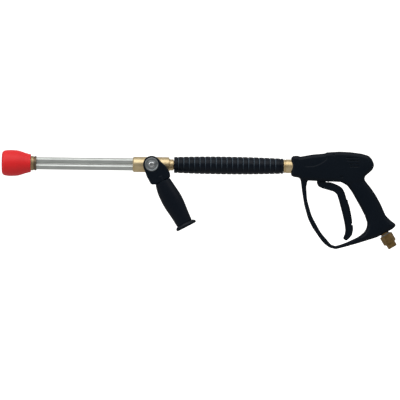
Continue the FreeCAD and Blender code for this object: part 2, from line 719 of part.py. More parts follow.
def hollow(corners, half):
    """Room inside one block of the housing: the outline less the wall, all round."""
    inner = outline(corners).makeOffset2D(-wall)
    return slab(inner, half - wall)


def tube_path(start, end_along):
    """Middle line of the inlet tube: back from the valve, one arc at the elbow, straight down the grip."""
    turn = math.radians(90 - grip_tilt)
    reach = min(elbow_radius * math.tan(turn / 2), (elbow - start).Length - 0.5)
    radius = reach / math.tan(turn / 2)
    first = elbow - V(reach, 0, 0)
    last = elbow + inlet_way * reach
    centre = first + V(0, 0, -radius)
    to_elbow = (elbow - centre).normalize()
    return Part.Wire([Part.LineSegment(start, first).toShape(),
                      Part.Arc(first, centre + to_elbow * radius, last).toShape(),
                      Part.LineSegment(last, in_grip(end_along)).toShape()])


tube_start = V(valve_x + 12 + seat_gap, 0, inlet_z)


def bent_rod(radius, end_along):
    """Solid of a given radius along the path of the inlet tube."""
    section = Part.Wire([Part.Circle(tube_start, BACK, radius).toShape()])
    return tube_path(tube_start, end_along).makePipeShell([section], True, False)


def housing():
    """Both halves in one: three rounded blocks, hollowed, ribbed, drilled and cut for what they hold."""
    body = round_faces(slab(outline(body_corners), body_half), body_half, 4.4)
    grip = round_faces(slab(outline(grip_corners), grip_half), grip_half, 4.4)
    bow = round_faces(slab(outline(bow_corners), bow_half), bow_half, 2.4)
    outside = fuse(body, grip, bow)
    shell = outside.cut(fuse(hollow(body_corners, body_half), hollow(grip_corners, grip_half)))

    rib = wall / 2
    plates = [box(x - rib, x + rib, -body_half, body_half, -40, 40) for x in (30, 58, 103)]
    for along in (66, 120):
        plate = box(-40, 40, -body_half, body_half, -rib, rib)
        plate.Placement = FreeCAD.Placement(in_grip(along), FreeCAD.Rotation(V(0, 1, 0), 180 - grip_tilt))
        plates.append(plate)
    foot = box(-40, 40, -body_half, body_half, -7, 7)
    tilt = FreeCAD.Rotation(V(0, 1, 0), 180 - grip_tilt)
    foot.Placement = FreeCAD.Placement(in_grip(nut_start - 9.3), tilt)
    plates.append(foot.common(box(150, 260, -body_half, body_half, -170, -90)))
    for x, z, half, in_hollow in screw_places:
        if in_hollow:
            plates.append(rod(V(x, -half, z), V(x, half, z), screw_radius + boss_wall))
    plates.append(rod(V(pivot_x, -body_half, pivot_z), V(pivot_x, body_half, pivot_z), pivot_radius + 3))
    solid = fuse(shell, *[plate.common(outside) for plate in plates])

    metal = fuse(Part.makeCylinder(valve_radius + shell_gap, 60, V(valve_x, 0, -32), UP).common(
                     box(0, 200, -30, 30, -18.5, plug_top + shell_gap)),
                 Part.makeCylinder(barrel_radius + 1.3 + shell_gap, valve_x, V(0, 0, 0), BACK),
                 Part.makeCylinder(9.5 + shell_gap, 20, V(valve_x, 0, inlet_z), BACK),
                 bent_rod(inlet_outer + shell_gap, nut_start))
    cuts = [metal,
            Part.makeCylinder(collar_radius + shell_gap, mouth_depth + 1, V(-1, 0, 0), BACK),
            box(slot_front, slot_rear, -slot_half, slot_half, -60, -16.5),
            rod(in_grip(nut_start - 16.5), in_grip(nut_start + 10), 9 + shell_gap),
            rod(V(pivot_x, -15, pivot_z), V(pivot_x, 15, pivot_z), pivot_radius + seat_gap)]
    for x, z, half, _ in screw_places:
        cuts.append(rod(V(x, 3.5 - half, z), V(x, half + 1, z), screw_radius + seat_gap))
        cuts.append(rod(V(x, half - 3.2, z), V(x, half + 1, z), screw_head + 0.3))
    for along, z in ((132, 19.4), (133, 13.8), (136, 7.0), (136.5, 1.3)):
        cuts.append(box(along - 13, along + 9, -body_half - 1, 0.6 - body_half, z - 0.7, z + 0.7))
        cuts.append(box(along - 13, along + 9, body_half - 0.6, body_half + 1, z - 0.7, z + 0.7))
    return solid.cut(Part.makeCompound(cuts))


def housing_half(whole, side):
    """One half of the housing; side is -1 for the near one."""
    keep = box(-50, 300, 0, 60, -250, 100) if side > 0 else box(-50, 300, -60, 0, -250, 100)
    return whole.common(keep)


def housing_screws():
    """Countersunk-in screws from the far side."""
    screws = []
    for x, z, half, _ in screw_places:
        shank = rod(V(x, 4.5 - half, z), V(x, half - 3, z), screw_radius)
        head = turned([(0, screw_head), (1.4, screw_head), (2.2, screw_head - 1)],
                      V(x, half - 3.2, z), V(0, 1, 0))
        recess = box(x - 0.5, x + 0.5, half - 1.9, half, z - 2.2, z + 2.2)
        cross = box(x - 2.2, x + 2.2, half - 1.9, half, z - 0.5, z + 0.5)
        screws.append(fuse(shank, head).cut(recess).cut(cross))
    return Part.makeCompound(screws)


# --- Hose inlet -----------------------------------------------------------------------------------

nipple_start = nut_start - 16.0


def inlet_tube():
    """Bent pipe from the valve to the nipple."""
    return bent_rod(inlet_outer, nipple_start + 8).cut(bent_rod(pipe_bore, nipple_start + 8))


def inlet_nipple():
    """Brass nipple in the foot of the grip. Its spigot carries the swivel."""
    clip = nut_start - nipple_start + 7
    seal = nut_start - nipple_start + 12
    body = turned([(0, 9), (nut_start - nipple_start - 2, 9), (nut_start - nipple_start - 2, spigot_radius),
                   (clip - 0.8, spigot_radius), (clip - 0.8, spigot_radius - 0.8),
                   (clip + 0.8, spigot_radius - 0.8),
                   (clip + 0.8, spigot_radius), (seal - 0.8, spigot_radius),
                   (seal - 0.8, spigot_radius - 1.2),
                   (seal + 0.8, spigot_radius - 1.2), (seal + 0.8, spigot_radius),
                   (nut_start + nut_length - thread_depth - 1.2 - nipple_start, spigot_radius)],
                  in_grip(nipple_start), inlet_way)
    bore = turned([(-1, inlet_outer + seat_gap), (8, inlet_outer + seat_gap), (8, 3.5), (60, 3.5)],
                  in_grip(nipple_start), inlet_way)
    return body.cut(bore)


def inlet_washer():
    return ring(in_grip(nut_start - 1.9), inlet_way, 1.7, 11.0, spigot_radius + seat_gap)


def inlet_swivel():
    """Swivel nut: hexagon, then a turned end with the hose thread."""
    hexed = hexagon(in_grip(nut_start), inlet_way, nut_flats, nut_hex_length, 1.2)
    end = turned([(0, 11.8), (nut_hex_length + 0.5, 11.8), (nut_hex_length + 1.2, 10.6),
                  (nut_length - 1, 10.2), (nut_length, 9.4)], in_grip(nut_start), inlet_way)
    clip = 7.0
    inner = spigot_radius + running_gap
    shoulder = nut_length - thread_depth
    bore = turned([(-1, inner), (clip - 0.8, inner), (clip - 0.8, inner + 0.8), (clip + 0.8, inner + 0.8),
                   (clip + 0.8, inner), (shoulder, inner), (shoulder, thread_radius),
                   (nut_length + 1, thread_radius)], in_grip(nut_start), inlet_way)
    return fuse(hexed, end).cut(bore)


def swivel_seal():
    return o_ring(in_grip(nut_start + 12), inlet_way, spigot_radius - 0.62, 0.55)


def swivel_clip():
    return o_ring(in_grip(nut_start + 7), inlet_way, spigot_radius + 0.05, 0.5)


def main():
    os.makedirs("parts", exist_ok=True)
    whole = housing()
    nodes = {
        "housing_left": housing_half(whole, -1),
        "housing_right": housing_half(whole, 1),
        "housing_screws": housing_screws(),
        "trigger": trigger(),
        "trigger_pin": rod(V(pivot_x, -14.5, pivot_z), V(pivot_x, 14.5, pivot_z), pivot_radius),
        "safety_latch": safety_latch(),
        "latch_pin": rod(V(latch_x, -7.5, latch_z), V(latch_x, 7.5, latch_z), latch_pin_radius),
        "valve_body": valve_body(),
        "valve_seat": valve_seat(),
        "valve_ball": valve_ball(),
        "valve_spring": valve_spring(),
        "valve_plug": valve_plug(),
        "plug_seal": plug_seal(),
        "push_pin": push_pin(),
        "pin_gland": pin_gland(),
        "pin_seals": pin_seals(),
        "outlet_collar": outlet_collar(),
        "outlet_seal": ring(V(barrel_front + 12.1, 0, 0), BACK, 1.7, 7.9, passage + 0.4),
        "inlet_tube": inlet_tube(),
        "inlet_nipple": inlet_nipple(),
        "inlet_washer": inlet_washer(),
        "inlet_swivel": inlet_swivel(),
        "swivel_seal": swivel_seal(),
        "swivel_clip": swivel_clip(),
        "lance_pipe": lance_pipe(),
        "lance_grip": lance_grip(),
        "grip_bush_front": grip_bush(grip_front + 0.5, 12, 9.5),
        "grip_bush_rear": grip_bush(grip_rear - 12, 11.5, pipe_radius),
        "manifold_nipple": manifold_nipple(),
        "nipple_seal": o_ring(V(manifold_rear - 8, 0, 0), BACK, 7.3, 0.65),
        "manifold_body": manifold_body(),
        "needle_seat": needle_seat(),
        "bypass_needle": bypass_needle(),
        "handle_spindle": handle_spindle(),
        "spindle_seal": spindle_seal(),
        "manifold_gland": manifold_gland(),
        "handle_hub": handle_hub(),
        "handle_grip": handle_grip(),
        "handle_end_cap": handle_end_cap(),
        "handle_washer": handle_washer(),
        "handle_screw": handle_screw(),
        "tube_upper": lance_tube(1),
        "tube_lower": lance_tube(-1),
        "tube_seals": tube_seals(),
        "nozzle_holder": nozzle_holder(),
        "high_pressure_nozzle": nozzle(1, 0.8, 0.5),
        "low_pressure_nozzle": nozzle(-1, 2.0, 0.9),
        "nozzle_guard": nozzle_guard(),
    }
    for name, shape in nodes.items():
        shape.translate(inlet_mouth * -1)
        solids = [solid.Volume for solid in shape.Solids]
        print(name, "solids", len(solids), "valid", shape.isValid(), "volume", round(sum(solids)))
        shape.exportStep("parts/" + name + ".step")


main()
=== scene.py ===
import json
import math
from itertools import product

import bpy
import numpy as np
from mathutils import Matrix, Vector


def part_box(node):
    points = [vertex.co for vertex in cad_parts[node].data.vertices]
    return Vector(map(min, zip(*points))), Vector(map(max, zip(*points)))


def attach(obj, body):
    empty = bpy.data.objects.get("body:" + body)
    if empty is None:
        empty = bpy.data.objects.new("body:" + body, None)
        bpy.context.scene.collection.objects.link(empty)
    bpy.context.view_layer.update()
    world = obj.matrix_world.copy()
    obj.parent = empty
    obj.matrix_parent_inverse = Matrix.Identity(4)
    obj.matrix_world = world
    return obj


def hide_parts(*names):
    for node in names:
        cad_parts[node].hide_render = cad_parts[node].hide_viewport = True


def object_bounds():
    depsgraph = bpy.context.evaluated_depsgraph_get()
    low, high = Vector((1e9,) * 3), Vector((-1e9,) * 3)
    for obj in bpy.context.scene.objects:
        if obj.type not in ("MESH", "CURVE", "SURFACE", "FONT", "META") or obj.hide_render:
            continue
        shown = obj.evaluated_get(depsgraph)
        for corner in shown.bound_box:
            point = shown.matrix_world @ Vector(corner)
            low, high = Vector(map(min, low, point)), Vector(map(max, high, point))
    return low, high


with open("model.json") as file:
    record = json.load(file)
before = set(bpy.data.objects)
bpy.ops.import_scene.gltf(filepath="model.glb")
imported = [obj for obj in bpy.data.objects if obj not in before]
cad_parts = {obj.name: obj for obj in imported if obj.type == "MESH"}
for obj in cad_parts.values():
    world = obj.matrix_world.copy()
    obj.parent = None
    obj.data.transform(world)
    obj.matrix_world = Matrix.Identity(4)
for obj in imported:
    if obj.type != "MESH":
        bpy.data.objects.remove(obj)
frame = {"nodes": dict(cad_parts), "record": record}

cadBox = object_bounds()
mm = 0.001

# Every size below is in millimetres from the gun's mouth: x back along the lance, y across, z up.
gunLow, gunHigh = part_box("housing_left")
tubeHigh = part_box("tube_lower")[1]
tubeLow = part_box("tube_upper")[0]
mouthPoint = Vector((gunLow.x, 0.0, (tubeHigh.z + tubeLow.z) / 2))


# A point of the frame, in millimetres from the gun's mouth.
def local(point):
    return (Vector(point) - mouthPoint) / mm


def nodeSpan(name):
    low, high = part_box(name)
    return local(low), local(high)


# Turns local millimetres into a mesh of the frame and hangs it on its body.
def addPiece(name, points, faces, body, replaced, material, smooth=True, sharpDeg=35.0):
    points = np.asarray(points, float) * mm + np.array(mouthPoint)
    mesh = bpy.data.meshes.new(name)
    if isinstance(faces, np.ndarray):
        count, corners = faces.shape
        mesh.vertices.add(len(points))
        mesh.vertices.foreach_set("co", points.astype(np.float32).ravel())
        mesh.loops.add(count * corners)
        mesh.loops.foreach_set("vertex_index", faces.astype(np.int32).ravel())
        mesh.polygons.add(count)
        mesh.polygons.foreach_set("loop_start", np.arange(0, count * corners, corners, dtype=np.int32))
        mesh.update(calc_edges=True)
    else:
        mesh.from_pydata(points.tolist(), [], faces)
    mesh.validate()
    mesh.polygons.foreach_set("use_smooth", np.full(len(mesh.polygons), smooth))
    if smooth:
        mesh.set_sharp_from_angle(angle=math.radians(sharpDeg))
    piece = bpy.data.objects.new(name, mesh)
    bpy.context.scene.collection.objects.link(piece)
    piece.data.materials.append(material)
    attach(piece, body)
    if replaced:
        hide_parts(*replaced)
    print("piece", name, len(mesh.polygons), "faces")
    return piece


# Quads of a rows x columns grid of points, numbered row by row.
def gridFaces(rows, columns, closeRows=False, closeColumns=True):
    i = np.arange(rows if closeRows else rows - 1)
    j = np.arange(columns if closeColumns else columns - 1)
    i, j = np.meshgrid(i, j, indexing="ij")
    nextI, nextJ = (i + 1) % rows, (j + 1) % columns
    quads = np.stack([i * columns + j, nextI * columns + j, nextI * columns + nextJ, i * columns + nextJ], -1)
    return quads.reshape(-1, 4)


# Closed outline from (a, b, radius) corners: each corner becomes a circular arc that touches both sides.
def roundedPath(corners, arcStep=6.0):
    corners = np.array(corners, float)
    points = []
    count = len(corners)
    for i in range(count):
        here = corners[i, :2]
        toLast = corners[i - 1, :2] - here
        toNext = corners[(i + 1) % count, :2] - here
        lengths = np.hypot(*toLast), np.hypot(*toNext)
        toLast, toNext = toLast / lengths[0], toNext / lengths[1]
        half = math.acos(np.clip(toLast @ toNext, -1, 1)) / 2
        reach = min(corners[i, 2] / math.tan(half), 0.49 * min(lengths))
        radius = reach * math.tan(half)
        centre = here + (toLast + toNext) / np.linalg.norm(toLast + toNext) * radius / math.sin(half)
        start, end = here + toLast * reach - centre, here + toNext * reach - centre
        a0 = math.atan2(start[1], start[0])
        turn = (math.atan2(end[1], end[0]) - a0 + math.pi) % (2 * math.pi) - math.pi
        steps = max(2, int(abs(math.degrees(turn)) / arcStep) + 1)
        angles = a0 + turn * np.linspace(0, 1, steps + 1)
        points.append(centre + radius * np.stack([np.cos(angles), np.sin(angles)], -1))
    return np.concatenate(points)


# Distance from points (a, b) to a closed path, negative inside it.
def flatDistance(path, a, b):
    a, b = np.broadcast_arrays(a, b)
    best = np.full(a.shape, 1e9)
    inside = np.zeros(a.shape, bool)
    for (a0, b0), (a1, b1) in zip(path, np.roll(path, -1, 0)):
        da, db = a1 - a0, b1 - b0
        length2 = da * da + db * db
        if length2 < 1e-12:
            continue
        t = np.clip(((a - a0) * da + (b - b0) * db) / length2, 0, 1)
        best = np.minimum(best, (a - a0 - t * da) ** 2 + (b - b0 - t * db) ** 2)
        crosses = ((b0 > b) != (b1 > b)) & (a < a0 + (b - b0) * da / (db if abs(db) > 1e-12 else 1e-12))
        inside ^= crosses
    return np.where(inside, -1, 1) * np.sqrt(best)


# Signed distance to an open line: positive on its left.
def openDistance(path, a, b):
    a, b = np.broadcast_arrays(a, b)
    best = np.full(a.shape, 1e9)
    side = np.ones(a.shape)
    for (a0, b0), (a1, b1) in zip(path[:-1], path[1:]):
        da, db = a1 - a0, b1 - b0
        t = np.clip(((a - a0) * da + (b - b0) * db) / (da * da + db * db), 0, 1)
        gap = (a - a0 - t * da) ** 2 + (b - b0 - t * db) ** 2
        cross = da * (b - b0) - db * (a - a0)
        side = np.where(gap < best, np.sign(cross), side)
        best = np.minimum(best, gap)
    return side * np.sqrt(best)


# A flat shape made thick by half to both sides, with its edges rounded by radius.
def thick(flat, y, half, radius):
    p, q = flat + radius, np.abs(y) - half + radius
    return np.hypot(np.maximum(p, 0), np.maximum(q, 0)) + np.minimum(np.maximum(p, q), 0) - radius


# Union with a fillet about as large as blend.
def join(first, second, blend):
    mix = np.clip(0.5 + 0.5 * (second - first) / blend, 0, 1)
    return second + (first - second) * mix - blend * mix * (1 - mix)


# First without second, with a slightly broken edge.
def cut(first, second, blend=0.4):
    return -join(-first, second, blend)


def ramp(value, low, high):
    t = np.clip((value - low) / (high - low), 0, 1)
    return t * t * (3 - 2 * t)


def boxField(x, y, z, low, high, radius=0.5):
    centre, half = (np.array(low) + high) / 2, (np.array(high) - low) / 2 - radius
    p = [np.abs(v - c) - h for v, c, h in zip((x, y, z), centre, half)]
    outer = np.sqrt(sum(np.maximum(v, 0) ** 2 for v in p))
    return outer + np.minimum(np.maximum(np.maximum(p[0], p[1]), p[2]), 0) - radius


# Distance to a straight round bar without its ends rounded.
def rodField(x, y, z, start, end, radius):
    start, end = np.array(start, float), np.array(end, float)
    way = (end - start) / np.linalg.norm(end - start)
    middle = (start + end) / 2
    along = (x - middle[0]) * way[0] + (y - middle[1]) * way[1] + (z - middle[2]) * way[2]
    total = (x - middle[0]) ** 2 + (y - middle[1]) ** 2 + (z - middle[2]) ** 2
    side = np.sqrt(np.maximum(total - along ** 2, 0)) - radius
    cap = np.abs(along) - np.linalg.norm(end - start) / 2
    return np.hypot(np.maximum(side, 0), np.maximum(cap, 0)) + np.minimum(np.maximum(side, cap), 0)


# How far a quarter-round edge of radius rim falls back, at a distance from the end of the piece.
def rimInset(fromEnd, rim):
    return rim - np.sqrt(np.maximum(rim ** 2 - np.maximum(rim - fromEnd, 0) ** 2, 0))


# Closed skin of the zero level of field(x, y, z): one point in each grid cell that the level crosses, at
# the mean of its crossings, one quad across each crossed grid edge, and the points then slid onto the
# level along the field's own slope.
def skin(field, low, high, step, settle=3):
    axes = [np.arange(a - step, b + 2 * step, step) for a, b in zip(low, high)]
    value = field(axes[0][:, None, None], axes[1][None, :, None], axes[2][None, None, :])
    inside = value < 0
    shape = tuple(n - 1 for n in value.shape)
    total = np.zeros(shape + (3,), np.float32)
    hits = np.zeros(shape, np.float32)
    quads = []
    index = np.zeros(shape, np.int64)
    crossings = []
    for axis in range(3):
        others = [k for k in range(3) if k != axis]
        first = [slice(None)] * 3
        second = [slice(None)] * 3
        first[axis], second[axis] = slice(0, -1), slice(1, None)
        a, b = value[tuple(first)], value[tuple(second)]
        where = np.argwhere(inside[tuple(first)] != inside[tuple(second)])
        where = where[(where[:, others[0]] > 0) & (where[:, others[1]] > 0)
                      & (where[:, others[0]] < shape[others[0]]) & (where[:, others[1]] < shape[others[1]])]
        key = tuple(where.T)
        t = a[key] / (a[key] - b[key])
        spot = where.astype(np.float32)
        spot[:, axis] += t
        crossings.append((axis, others, where, inside[tuple(first)][key]))
        for p, q in product((0, 1), (0, 1)):
            cell = where.copy()
            cell[:, others[0]] -= p
            cell[:, others[1]] -= q
            np.add.at(total, tuple(cell.T), spot)
            np.add.at(hits, tuple(cell.T), 1)
    active = hits > 0
    index[active] = np.arange(active.sum())
    points = total[active] / hits[active][:, None] * step + np.array([a[0] for a in axes])
    for axis, others, where, starts in crossings:
        ring = []
        for p, q in ((0, 0), (1, 0), (1, 1), (0, 1)):
            cell = where.copy()
            cell[:, others[0]] -= p
            cell[:, others[1]] -= q
            ring.append(index[tuple(cell.T)])
        ring = np.stack(ring, -1)
        flip = starts if axis != 1 else ~starts
        ring[~flip] = ring[~flip][:, ::-1]
        quads.append(ring)
    quads = np.concatenate(quads)
    probe = 0.02
    for _ in range(settle):
        x, y, z = points.T
        here = field(x, y, z)
        slope = np.stack([field(x + probe, y, z), field(x, y + probe, z), field(x, y, z + probe)], -1)
        slope = (slope - here[:, None]) / probe
        size = np.maximum((slope ** 2).sum(-1), 0.2)
        move = -here[:, None] * slope / size[:, None]
        points = points + np.clip(move, -0.6 * step, 0.6 * step)
    return points, quads


# Surface of revolution about the lance axis from a closed (x, radius) profile.
def lathe(profile, sides=96, closed=True):
    profile = np.array(profile, float)
    angle = np.linspace(0, 2 * math.pi, sides, endpoint=False)
    x = np.repeat(profile[:, :1], sides, 1)
    y = profile[:, 1:] * np.sin(angle)
    z = profile[:, 1:] * np.cos(angle)
    return np.stack([x, y, z], -1).reshape(-1, 3), gridFaces(len(profile), sides, closeRows=closed)


# sRGB hex to linear RGBA.
def linear(hexValue):
    parts = [int(hexValue[i:i + 2], 16) / 255 for i in (1, 3, 5)]
    return tuple(p / 12.92 if p <= 0.04045 else ((p + 0.055) / 1.055) ** 2.4 for p in parts) + (1.0,)


def newMaterial(name, colour, roughness, metallic=0.0, **sockets):
    material = bpy.data.materials.new(name)
    material.use_nodes = True
    shader = material.node_tree.nodes["Principled BSDF"]
    shader.inputs["Base Color"].default_value = linear(colour)
    shader.inputs["Roughness"].default_value = roughness
    shader.inputs["Metallic"].default_value = metallic
    for socket, value in sockets.items():
        shader.inputs[socket.replace("_", " ")].default_value = value
    return material, shader


# Adds one node, sets its properties, and sets or links its inputs.
def addNode(material, kind, settings=None, inputs=None):
    node = material.node_tree.nodes.new(kind)
    for key, value in (settings or {}).items():
        setattr(node, key, value)
    for key, value in (inputs or {}).items():
        if isinstance(value, bpy.types.NodeSocket):
            material.node_tree.links.new(value, node.inputs[key])
        else:
            node.inputs[key].default_value = value
    return node


# Pattern scale for features about sizeMm across, on coordinates in metres.
def perMetre(sizeMm):
    return 1.0 / (sizeMm * mm)


# Glass-filled nylon or polypropylene, moulded in a spark-eroded mould: a fine even grain that breaks the
# gloss up, and slow changes of gloss where hands polish it.
def plasticMaterial(name, spec):
    material, shader = newMaterial(name, spec["colour"], spec["roughness"], IOR=spec["ior"],
                                   Specular_IOR_Level=spec["specular"])
    coords = addNode(material, "ShaderNodeTexCoord").outputs["Object"]
    grain = addNode(material, "ShaderNodeTexNoise", inputs={
        "Vector": coords, "Scale": perMetre(spec["grainMm"]), "Detail": 3.0, "Roughness": 0.6})
    patches = addNode(material, "ShaderNodeTexNoise", inputs={
        "Vector": coords, "Scale": perMetre(spec["patchMm"]), "Detail": 2.0})
    gloss = addNode(material, "ShaderNodeMapRange", inputs={
        "Value": patches.outputs["Fac"], "From Min": 0.3, "From Max": 0.7,
        "To Min": spec["roughness"] - spec["spread"], "To Max": spec["roughness"] + spec["spread"]})
    tint = addNode(material, "ShaderNodeMix", {"data_type": "RGBA"}, {
        "Factor": grain.outputs["Fac"], "A": linear(spec["colour"]), "B": linear(spec["tint"])})
    bump = addNode(material, "ShaderNodeBump", inputs={
        "Height": grain.outputs["Fac"], "Strength": spec["bump"], "Distance": spec["depthMm"] * mm})
    links = material.node_tree.links
    links.new(tint.outputs["Result"], shader.inputs["Base Color"])
    links.new(gloss.outputs["Result"], shader.inputs["Roughness"])
    links.new(bump.outputs["Normal"], shader.inputs["Normal"])
    return material


housingPlastic = {"colour": "#06101A", "tint": "#0A1520", "roughness": 0.4, "spread": 0.04, "ior": 1.5,
                  "specular": 0.14, "grainMm": 0.7, "patchMm": 22.0, "bump": 0.35, "depthMm": 0.08}
gripPlastic = {"colour": "#060F1A", "tint": "#09131F", "roughness": 0.34, "spread": 0.04, "ior": 1.48,
               "specular": 0.2, "grainMm": 0.9, "patchMm": 18.0, "bump": 0.25, "depthMm": 0.06}


# Natural rubber pressed in a mould: soft gloss, faint bloom and small colour drift.
def rubberMaterial(name, spec):
    material, shader = newMaterial(name, spec["colour"], spec["roughness"], IOR=1.52)
    shader.inputs["Sheen Weight"].default_value = spec["sheen"]
    shader.inputs["Sheen Roughness"].default_value = 0.4
    coords = addNode(material, "ShaderNodeTexCoord").outputs["Object"]
    drift = addNode(material, "ShaderNodeTexNoise", inputs={
        "Vector": coords, "Scale": perMetre(spec["driftMm"]), "Detail": 3.0})
    grain = addNode(material, "ShaderNodeTexNoise", inputs={
        "Vector": coords, "Scale": perMetre(spec["grainMm"]), "Detail": 4.0})
    tint = addNode(material, "ShaderNodeMix", {"data_type": "RGBA"}, {
        "Factor": drift.outputs["Fac"], "A": linear(spec["colour"]), "B": linear(spec["tint"])})
    bump = addNode(material, "ShaderNodeBump", inputs={
        "Height": grain.outputs["Fac"], "Strength": 0.25, "Distance": 0.05 * mm})
    links = material.node_tree.links
    links.new(tint.outputs["Result"], shader.inputs["Base Color"])
    links.new(bump.outputs["Normal"], shader.inputs["Normal"])
    return material


guardRubber = {"colour": "#FF1A20", "tint": "#F8141C", "roughness": 0.5, "sheen": 0.08, "driftMm": 15.0,
               "grainMm": 0.6}


# Bright metal with the marks of its making: fine lines round the axis for turned work, or along it for
# drawn tube, and slow patches of tarnish.
def metalMaterial(name, spec, centre, axis):
    material, shader = newMaterial(name, spec["colour"], spec["roughness"], 1.0)
    coords = addNode(material, "ShaderNodeTexCoord").outputs["Object"]
    way = Vector(axis).normalized()
    turn = way.to_track_quat("Z", "Y").inverted().to_euler()
    centred = addNode(material, "ShaderNodeVectorMath", {"operation": "SUBTRACT"}, {
        0: coords, 1: Vector(centre)})
    turned = addNode(material, "ShaderNodeVectorRotate", {"rotation_type": "EULER_XYZ"}, {
        "Vector": centred.outputs["Vector"], "Rotation": turn})
    stretch = (1.0, 1.0, spec["stretch"])
    lines = addNode(material, "ShaderNodeMapping", inputs={
        "Vector": turned.outputs["Vector"], "Scale": stretch})
    scratch = addNode(material, "ShaderNodeTexNoise", inputs={
        "Vector": lines.outputs["Vector"], "Scale": perMetre(spec["lineMm"]), "Detail": 4.0,
        "Roughness": 0.6})
    tarnish = addNode(material, "ShaderNodeTexNoise", inputs={
        "Vector": coords, "Scale": perMetre(spec["patchMm"]), "Detail": 4.0})
    stain = addNode(material, "ShaderNodeMapRange", inputs={
        "Value": tarnish.outputs["Fac"], "From Min": 0.42, "From Max": 0.75, "To Min": 0.0, "To Max": 1.0})
    tint = addNode(material, "ShaderNodeMix", {"data_type": "RGBA"}, {
        "Factor": stain.outputs["Result"], "A": linear(spec["colour"]), "B": linear(spec["tint"])})
    gloss = addNode(material, "ShaderNodeMapRange", inputs={
        "Value": scratch.outputs["Fac"], "From Min": 0.3, "From Max": 0.7,
        "To Min": spec["roughness"] * 0.8, "To Max": spec["roughness"] * 1.3})
    bump = addNode(material, "ShaderNodeBump", inputs={
        "Height": scratch.outputs["Fac"], "Strength": spec["bump"], "Distance": 0.03 * mm})
    links = material.node_tree.links
    links.new(tint.outputs["Result"], shader.inputs["Base Color"])
    links.new(gloss.outputs["Result"], shader.inputs["Roughness"])
    links.new(bump.outputs["Normal"], shader.inputs["Normal"])
    return material


# Lays a second colour over a material's own, as far as factor says.
def layColour(material, factor, colour):
    base = material.node_tree.nodes["Principled BSDF"].inputs["Base Color"]
    laid = addNode(material, "ShaderNodeMix", {"data_type": "RGBA"}, {"Factor": factor, "B": linear(colour)})
    material.node_tree.links.new(base.links[0].from_socket, laid.inputs["A"])
    material.node_tree.links.new(laid.outputs["Result"], base)


# lines round the axis: the noise is stretched across the axis, so stretch is large along it
turnedBrass = {"colour": "#E6D2A8", "tint": "#D2B888", "roughness": 0.36, "stretch": 14.0, "lineMm": 9.0,
               "patchMm": 14.0, "bump": 0.04}
dullBrass = {"colour": "#967A4E", "tint": "#725C3A", "roughness": 0.42, "stretch": 10.0, "lineMm": 9.0,
             "patchMm": 9.0, "bump": 0.05}
drawnSteel = {"colour": "#D4D8D4", "tint": "#C9CDC9", "roughness": 0.42, "stretch": 0.02, "lineMm": 2.5,
              "patchMm": 40.0, "bump": 0.0}
holderBrass = {**turnedBrass, "colour": "#BAA680", "tint": "#94836A", "roughness": 0.46}
zincSteel = {"colour": "#989EA0", "tint": "#7E8487", "roughness": 0.34, "stretch": 1.0, "lineMm": 2.0,
             "patchMm": 8.0, "bump": 0.06}

lanceAxis = (1, 0, 0)
blackHousing = plasticMaterial("GlassFilledNylonMoulded", housingPlastic)
blackGrip = plasticMaterial("PolypropyleneMoulded", gripPlastic)
ribbedPlastic = plasticMaterial("PolypropyleneRibbed", gripPlastic)
paintedHighlightAttribute = addNode(ribbedPlastic, "ShaderNodeAttribute", {"attribute_name": "paintedHighlight"})
layColour(ribbedPlastic, paintedHighlightAttribute.outputs["Fac"], "#5E6F7C")  # painted highlight: a pale line on each ring's leading edge, strongest on the upper side
redGuard = rubberMaterial("NaturalRubberPressed", guardRubber)
brassTurned = metalMaterial("BrassTurned", turnedBrass, mouthPoint, lanceAxis)
brassDull = metalMaterial("BrassTurnedDull", dullBrass, (0, 0, 0), (0.515, 0, -0.857))
brassHolder = metalMaterial("BrassTurnedTarnished", holderBrass, mouthPoint, lanceAxis)
endRing = {"start": -554.0, "full": -552.6, "colour": "#7C6C5A"}  # browned end of the holder
holderCoords = addNode(brassHolder, "ShaderNodeTexCoord").outputs["Object"]
holderAlong = addNode(brassHolder, "ShaderNodeSeparateXYZ", inputs={"Vector": holderCoords}).outputs["X"]
inRing = addNode(brassHolder, "ShaderNodeMapRange", inputs={
    "Value": holderAlong, "From Min": mouthPoint[0] + endRing["start"] * mm,
    "From Max": mouthPoint[0] + endRing["full"] * mm})
layColour(brassHolder, inRing.outputs["Result"], endRing["colour"])
steelDrawn = metalMaterial("StainlessSteelDrawn", drawnSteel, mouthPoint, lanceAxis)
steelZinc = metalMaterial("SteelZincPlated", zincSteel, mouthPoint, (0, 1, 0))
polishedSteel = {**zincSteel, "colour": "#D8DBDC", "roughness": 0.2}
steelBright = metalMaterial("SteelPolished", polishedSteel, mouthPoint, (0, 1, 0))
sealRubber = rubberMaterial("NitrileRubberMoulded", {**guardRubber, "colour": "#101012", "tint": "#18181A"})

slotMaterials = {"black_nylon": blackHousing, "black_grip": blackGrip, "red_rubber": redGuard,
                 "brass": brassTurned, "steel": steelDrawn, "zinc_steel": steelZinc,
                 "seal_rubber": sealRubber}
nodeSlots = {part["node"]: part["material_slot"] for part in frame["record"]["subparts"]}
nodeMaterials = {"inlet_swivel": brassDull, "inlet_nipple": brassDull, "nozzle_holder": brassHolder}
for nodeName, nodeObject in frame["nodes"].items():
    nodeObject.data.materials.clear()
    nodeObject.data.materials.append(nodeMaterials.get(nodeName, slotMaterials[nodeSlots[nodeName]]))
print("stage materials")


